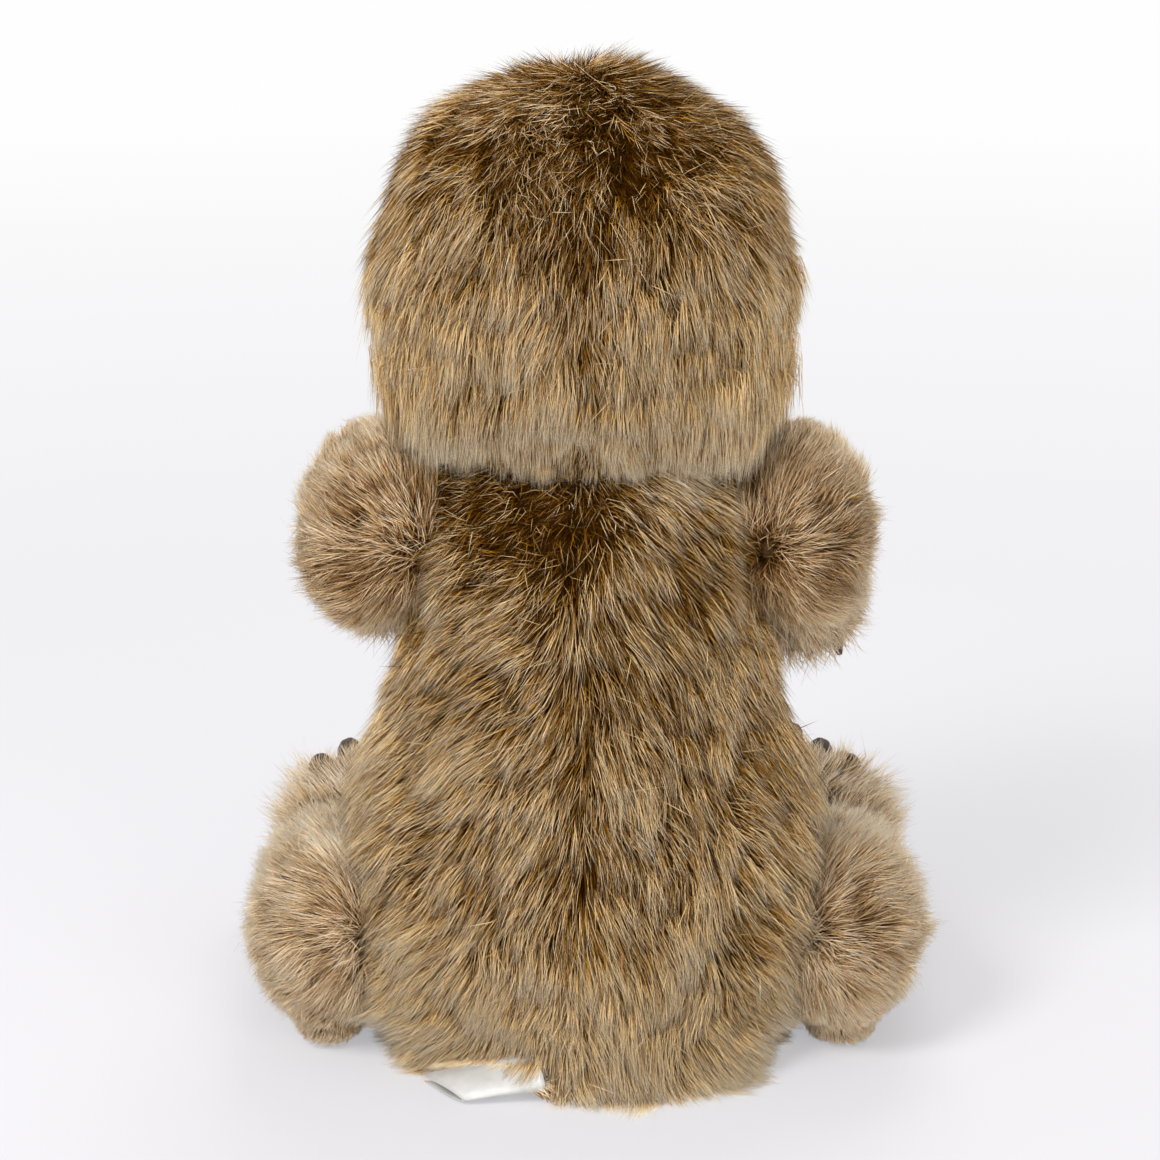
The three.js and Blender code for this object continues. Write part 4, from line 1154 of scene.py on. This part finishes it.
def tube_faces(rows, n):
    """Quads between rings of n points, and a face over each end."""
    faces = []
    for row in range(rows - 1):
        for k in range(n):
            j = (k + 1) % n
            faces.append([row * n + k, row * n + j, (row + 1) * n + j, (row + 1) * n + k])
    faces.append(list(reversed(range(n))))
    faces.append([(rows - 1) * n + k for k in range(n)])
    return faces


def lathe(rings, outline, place, out, segments):
    """Rings of a form turned about out: each ring is a share of the outline and a height."""
    side = np.cross(out, UP)
    x, z = outline(np.linspace(0, TURN, segments, endpoint=False))
    share, height = np.array(rings).T
    points = share[:, None, None] * (x[:, None] * side + z[:, None] * UP)
    return place + points + height[:, None, None] * out


def dome_place(node, out, height):
    """Middle of the flat back of an eye or the nose."""
    points, _ = node_mesh(node)
    side = np.cross(out, UP)
    across, level = points @ side, points[:, 2]
    middle = side * (across.min() + across.max()) / 2 + np.array([0, 0, (level.min() + level.max()) / 2])
    return middle + out * ((points @ out).max() - height)


SHANK = 13 * MM
RIM = 1 * MM


def dome_rings(height, shank_share, count):
    """Rings from the end of the shank, over the flat back and the rim, up the dome."""
    rings = [(0.9 * shank_share, -SHANK), (shank_share, -SHANK + 0.3 * MM), (shank_share, -0.1 * MM)]
    rings += [(0.93, 0.0), (0.985, 0.12 * MM), (1.0, 0.35 * MM)]
    for angle in np.linspace(0, math.pi / 2 * 0.985, count):
        rings.append((math.cos(angle), RIM + (height - RIM) * math.sin(angle)))
    return rings


EYE_RADIUS = 5 * MM
EYE_HEIGHT = 4.75 * MM
EYE_TURN = 0.3
EYE_SEGMENTS = 64


def circle(a):
    return EYE_RADIUS * np.cos(a), EYE_RADIUS * np.sin(a)


for side, sign in SIDES:
    out = np.array([sign * math.sin(EYE_TURN), -math.cos(EYE_TURN), 0])
    place = dome_place(f"eye_{side}", out, EYE_HEIGHT)
    rings = dome_rings(EYE_HEIGHT, 0.4, 26)
    points = lathe(rings, circle, place, out, EYE_SEGMENTS)
    obj = make(f"eye_{side}_dome", points.reshape(-1, 3), tube_faces(len(rings), EYE_SEGMENTS))
    around = np.linspace(0, 1, EYE_SEGMENTS, endpoint=False)
    set_map(obj, "dome", np.stack(np.broadcast_arrays(around, np.array(rings)[:, :1]), axis=-1))
    belongs(dress(obj, EYE), "head", "eye", f"eye_{side}")


def nose():
    """Moulded nose: wide above, narrower below, with two nostrils and a groove under them."""
    out = np.array([0, -1.0, 0])
    place = dome_place("nose", out, 5.125 * MM)

    def outline(a):
        down = np.maximum(0, -np.sin(a))
        round_off = (np.abs(np.cos(a)) ** 2.4 + np.abs(np.sin(a)) ** 2.4) ** (-1 / 2.4)
        return 8.1 * MM * np.cos(a) * round_off * (1 - 0.24 * down), 5.4 * MM * np.sin(a) * round_off

    rings, segments = dome_rings(5.1 * MM, 0.36, 40), 96
    points = lathe(rings, outline, place, out, segments)
    local = (points - place) / MM
    x, z, up = local[..., 0], local[..., 2], -local[..., 1]
    nostrils = sum(np.exp(-(((x - sign * 3.3) / 1.25) ** 2) - ((z + 1.1) / 0.95) ** 2) for sign in (1, -1))
    groove = np.exp(-((x / 0.42) ** 2)) * ease(-z, 0.2, 1.8)
    brow = np.exp(-((x / 3.5) ** 2) - ((z - 1.6) / 1.6) ** 2)
    points[..., 1] += MM * (1.5 * nostrils + 0.55 * groove - 0.3 * brow) * ease(up, 1.0, 2.2)
    obj = make("nose_form", points.reshape(-1, 3), tube_faces(len(rings), segments))
    belongs(dress(obj, NOSE), "head", "nose", "nose")


nose()


# Thread

def ply(path, normals, ply_radius, twist_radius, pitch, start):
    """One strand of a twisted thread along a path: a closed tube that winds about it."""
    along = np.concatenate([[0], np.cumsum(np.linalg.norm(np.diff(path, axis=0), axis=1))])
    way = unit(np.gradient(path, axis=0))
    side = unit(np.cross(way, normals))
    up = np.cross(side, way)
    turn = start + TURN * along / pitch
    middle = path + twist_radius * (np.cos(turn)[:, None] * side + np.sin(turn)[:, None] * up)
    n = 8
    angle = np.linspace(0, TURN, n, endpoint=False)
    thick = ply_radius * np.where(np.arange(len(path)) % (len(path) - 1) == 0, 0.4, 1.0)
    ring = np.cos(angle)[None, :, None] * side[:, None] + np.sin(angle)[None, :, None] * up[:, None]
    points = middle[:, None] + thick[:, None, None] * ring
    return points.reshape(-1, 3), tube_faces(len(path), n)


def sewn(name, stitches, body, thick, pitch, *replaced):
    """Stitches of two-ply thread, as one piece. Each has a start, an end, the way out and a height."""
    all_points, all_faces, total = [], [], 0
    for start, end, out, height in stitches:
        t = np.linspace(0, 1, 15)[:, None]
        arch = np.sin(math.pi * t)
        path = start * (1 - t) + end * t + out * (height * arch - 0.5 * height * (1 - arch))
        for turn in (0, math.pi):
            normals = np.broadcast_to(out, path.shape)
            points, faces = ply(path, normals, 0.55 * thick, 0.45 * thick, pitch, turn)
            all_points.append(points)
            all_faces += [[k + total for k in face] for face in faces]
            total += len(points)
    belongs(dress(make(name, np.concatenate(all_points), all_faces), THREAD), body, "thread", *replaced)


def mouth():
    """A row of back stitches along the smile, and two more up to the nose."""
    points, _ = node_mesh("mouth_stitch")
    reach = points[:, 0].max()
    ends = []
    for x in np.linspace(-reach, reach, 10):
        near = points[np.abs(points[:, 0] - x) < 1.8 * MM].mean(0)
        ends.append(np.array([x, near[1], near[2]]))
    height = 0.9 * MM
    stitches = []
    for a, b in zip(ends, ends[1:]):
        out = unit(np.array([1.2 * (a[0] + b[0]) / 2, -0.05, 0]))
        stitches.append((a - 0.1 * (b - a), b + 0.1 * (b - a), out, height))
    middle = (ends[4] + ends[5]) / 2
    top = np.array([0, middle[1] - 1.2 * MM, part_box("nose")[0][2] + 0.4 * MM])
    half_way = (middle + top) / 2
    for a, b in ((middle, half_way), (half_way, top)):
        stitches.append((a, b, np.array([0, -1.0, 0]), height))
    sewn("mouth_thread", stitches, "head", 0.62 * MM, 1.7 * MM, "mouth_stitch")


mouth()


# Claws and pads

PAD_STITCHES = 34


def whip_stitches(body, pad):
    """Small stitches all round the edge of a pad."""
    middle = pad.points.mean(0)
    aside = pad.points - middle
    _, _, ways = np.linalg.svd(aside, full_matrices=False)
    out = ways[2] if ways[2] @ (middle - forms[body].points.mean(0)) > 0 else -ways[2]
    bearing = np.arctan2(aside @ ways[1], aside @ ways[0])
    reach = np.hypot(aside @ ways[1], aside @ ways[0])
    stitches = []
    for k in range(PAD_STITCHES):
        angle = TURN * k / PAD_STITCHES - math.pi
        near = np.abs((bearing - angle + math.pi) % TURN - math.pi) < 0.12
        edge = pad.points[near][reach[near].argmax()]
        way = unit(edge - middle - out * ((edge - middle) @ out))
        lean = np.cross(out, way) * 0.7 * MM
        inner = pad.nearest((edge - 2.2 * MM * way + 3 * MM * out)[None])[0][0]
        outer = edge + 0.7 * MM * way - 0.3 * MM * out
        stitches.append((inner - lean, outer + lean, unit(out + 0.6 * way), 0.7 * MM))
    sewn(f"{body}_pad_thread", stitches, body, 0.4 * MM, 1.2 * MM)


for body in LIMBS:
    for claw in CLAWS:
        soft_node(f"{body}_claw_{claw}", body, 1.0 * MM, 5, CLAW, "claw", 0.1 * MM)
    whip_stitches(body, soft_node(f"{body}_pad", body, 1.0 * MM, 5, SUEDE, "suede"))


# Label

LABEL_THICKNESS = 0.25 * MM


def through(points, count):
    """Places on a smooth curve through some points."""
    p = np.array(points, float)
    p = np.concatenate([[2 * p[0] - p[1]], p, [2 * p[-1] - p[-2]]])
    t = np.linspace(0, len(points) - 1, count)
    k = np.minimum(t.astype(int), len(points) - 2)
    u = (t - k)[:, None]
    a, b, c, d = (p[k + j] for j in range(4))
    return 0.5 * (2 * b + (c - a) * u + (2 * a - 5 * b + 4 * c - d) * u**2 + (3 * b - a - 3 * c + d) * u**3)


def grid_faces(rows, columns):
    start = np.arange(rows - 1)[:, None] * columns + np.arange(columns - 1)
    return np.stack([start, start + 1, start + columns + 1, start + columns], axis=-1).reshape(-1, 4)


def label():
    """Satin ribbon folded over, sewn in at both ends and open at its left edge."""
    rows, columns = 49, 21
    left, right = (through(edge, rows) * MM for edge in (LABEL_LEFT, LABEL_RIGHT))
    along, across = np.linspace(0, 1, rows)[:, None], np.linspace(0, 1, columns)[None, :]
    points = left[:, None] * (1 - across[..., None]) + right[:, None] * across[..., None]
    ripple = np.sin(TURN * across + 0.6) * np.sin(math.pi * np.clip(along * 1.9, 0, 1))
    points[..., 2] += 0.5 * MM * ripple
    obj = dress(make("label_ribbon", points.reshape(-1, 3), grid_faces(rows, columns)), SATIN)
    set_map(obj, "ribbon", np.stack(np.broadcast_arrays(across, along), axis=-1))
    cloth = obj.modifiers.new("cloth", "SOLIDIFY")
    cloth.thickness = LABEL_THICKNESS
    belongs(obj, "torso", "satin", "care_label")


label()


# Carried over from the frame

for name, obj in frame["nodes"].items():
    if "joint" in name or "washer" in name:
        dress(obj, PLASTIC)
dress(frame["nodes"]["pellet_bag"], CANVAS)


# Stage

TARGET = Vector((1.5 * MM, 0, 127 * MM))
DISTANCE = 0.9
ELEVATION = math.radians(15)
SENSOR = 36
LENS = 107.4
LAMP_AIM = Vector((0, 0, 0.12))
LAMPS = (  # name, place, width, watts
    ("key", (0.85, 1.2, 1.2), 0.7, 31.5),
    ("fill", (-0.7, 1.5, 0.5), 1.0, 13),
    ("rim", (-0.2, -1.2, 1.3), 1.0, 14),
)
FLOOR_RINGS = (0.3, 0.7, 1.5, 4.0, 12.0, 40.0)


def look_along(obj, place, way):
    obj.location = place
    obj.rotation_mode = "QUATERNION"
    obj.rotation_quaternion = way.to_track_quat("-Z", "Y")


camera = add("camera", bpy.data.cameras.new("camera"))
camera.data.sensor_width = SENSOR
camera.data.lens = LENS
back = Vector((0, math.cos(ELEVATION), math.sin(ELEVATION)))
look_along(camera, TARGET + back * DISTANCE, -back)
bpy.context.scene.camera = camera

for name, place, width, watts in LAMPS:
    lamp = bpy.data.lights.new(name, "AREA")
    lamp.shape = "DISK"
    lamp.size = width
    lamp.energy = watts
    look_along(add(name, lamp), Vector(place), LAMP_AIM - Vector(place))


def stage_floor():
    """A wide pale floor, lighter away from the toy."""
    n = 96
    points, faces = [(0, 0, 0)], []
    for ring, radius in enumerate(FLOOR_RINGS):
        angles = np.linspace(0, TURN, n, endpoint=False)
        points += [(radius * math.cos(a), radius * math.sin(a), 0) for a in angles]
        for k in range(n):
            a, b = 1 + ring * n + k, 1 + ring * n + (k + 1) % n
            faces.append((0, a, b) if ring == 0 else (a - n, a, b, b - n))
    mesh = bpy.data.meshes.new("floor")
    mesh.from_pydata(points, [], faces)
    obj = add("floor", mesh)
    made = Finish("floor", Roughness=0.85, Specular_IOR_Level=0.1)
    far = made.node("VectorMath", {"operation": "LENGTH"}, _0=made.place()).outputs["Value"]
    tones = [(0.0, linear(207, 206, 211)), (1.0, linear(211, 211, 215))]
    colour = made.ramp(made.span(far, 0.0, 1.0), tones)
    from_camera = made.node("LightPath").outputs["Is Camera Ray"]
    made.wire(colour=made.mix(from_camera, linear(240, 239, 238), colour))
    shades = [(0.0, linear(246, 245, 248)), (0.2, linear(241, 240, 243)), (0.75, linear(254, 254, 254))]
    glow = made.node("Emission", Color=made.ramp(made.span(far, 0.0, 1.0, 0.0, 2.5), shades), Strength=1.0)
    share = made.span(far, 0.45, 1.0, 0.1, 0.7, {"interpolation_type": "SMOOTHSTEP"})
    made.end_in("Material Output", made.maths("MULTIPLY", made.seen(), share), made.shader, glow)
    dress(obj, made.material)


stage_floor()

world = bpy.data.worlds.new("studio")
bpy.context.scene.world = world
world.use_nodes = True
sky = Nodes(world.node_tree)
light = sky.tree.nodes["Background"]
light.inputs["Color"].default_value = (1.0, 0.99, 0.975, 1.0)
light.inputs["Strength"].default_value = 0.55
white = sky.node("Background", Color=(0.99, 0.99, 0.99, 1.0))
sky.end_in("World Output", sky.seen(), light, white)

bpy.context.scene.view_settings.view_transform = "Standard"
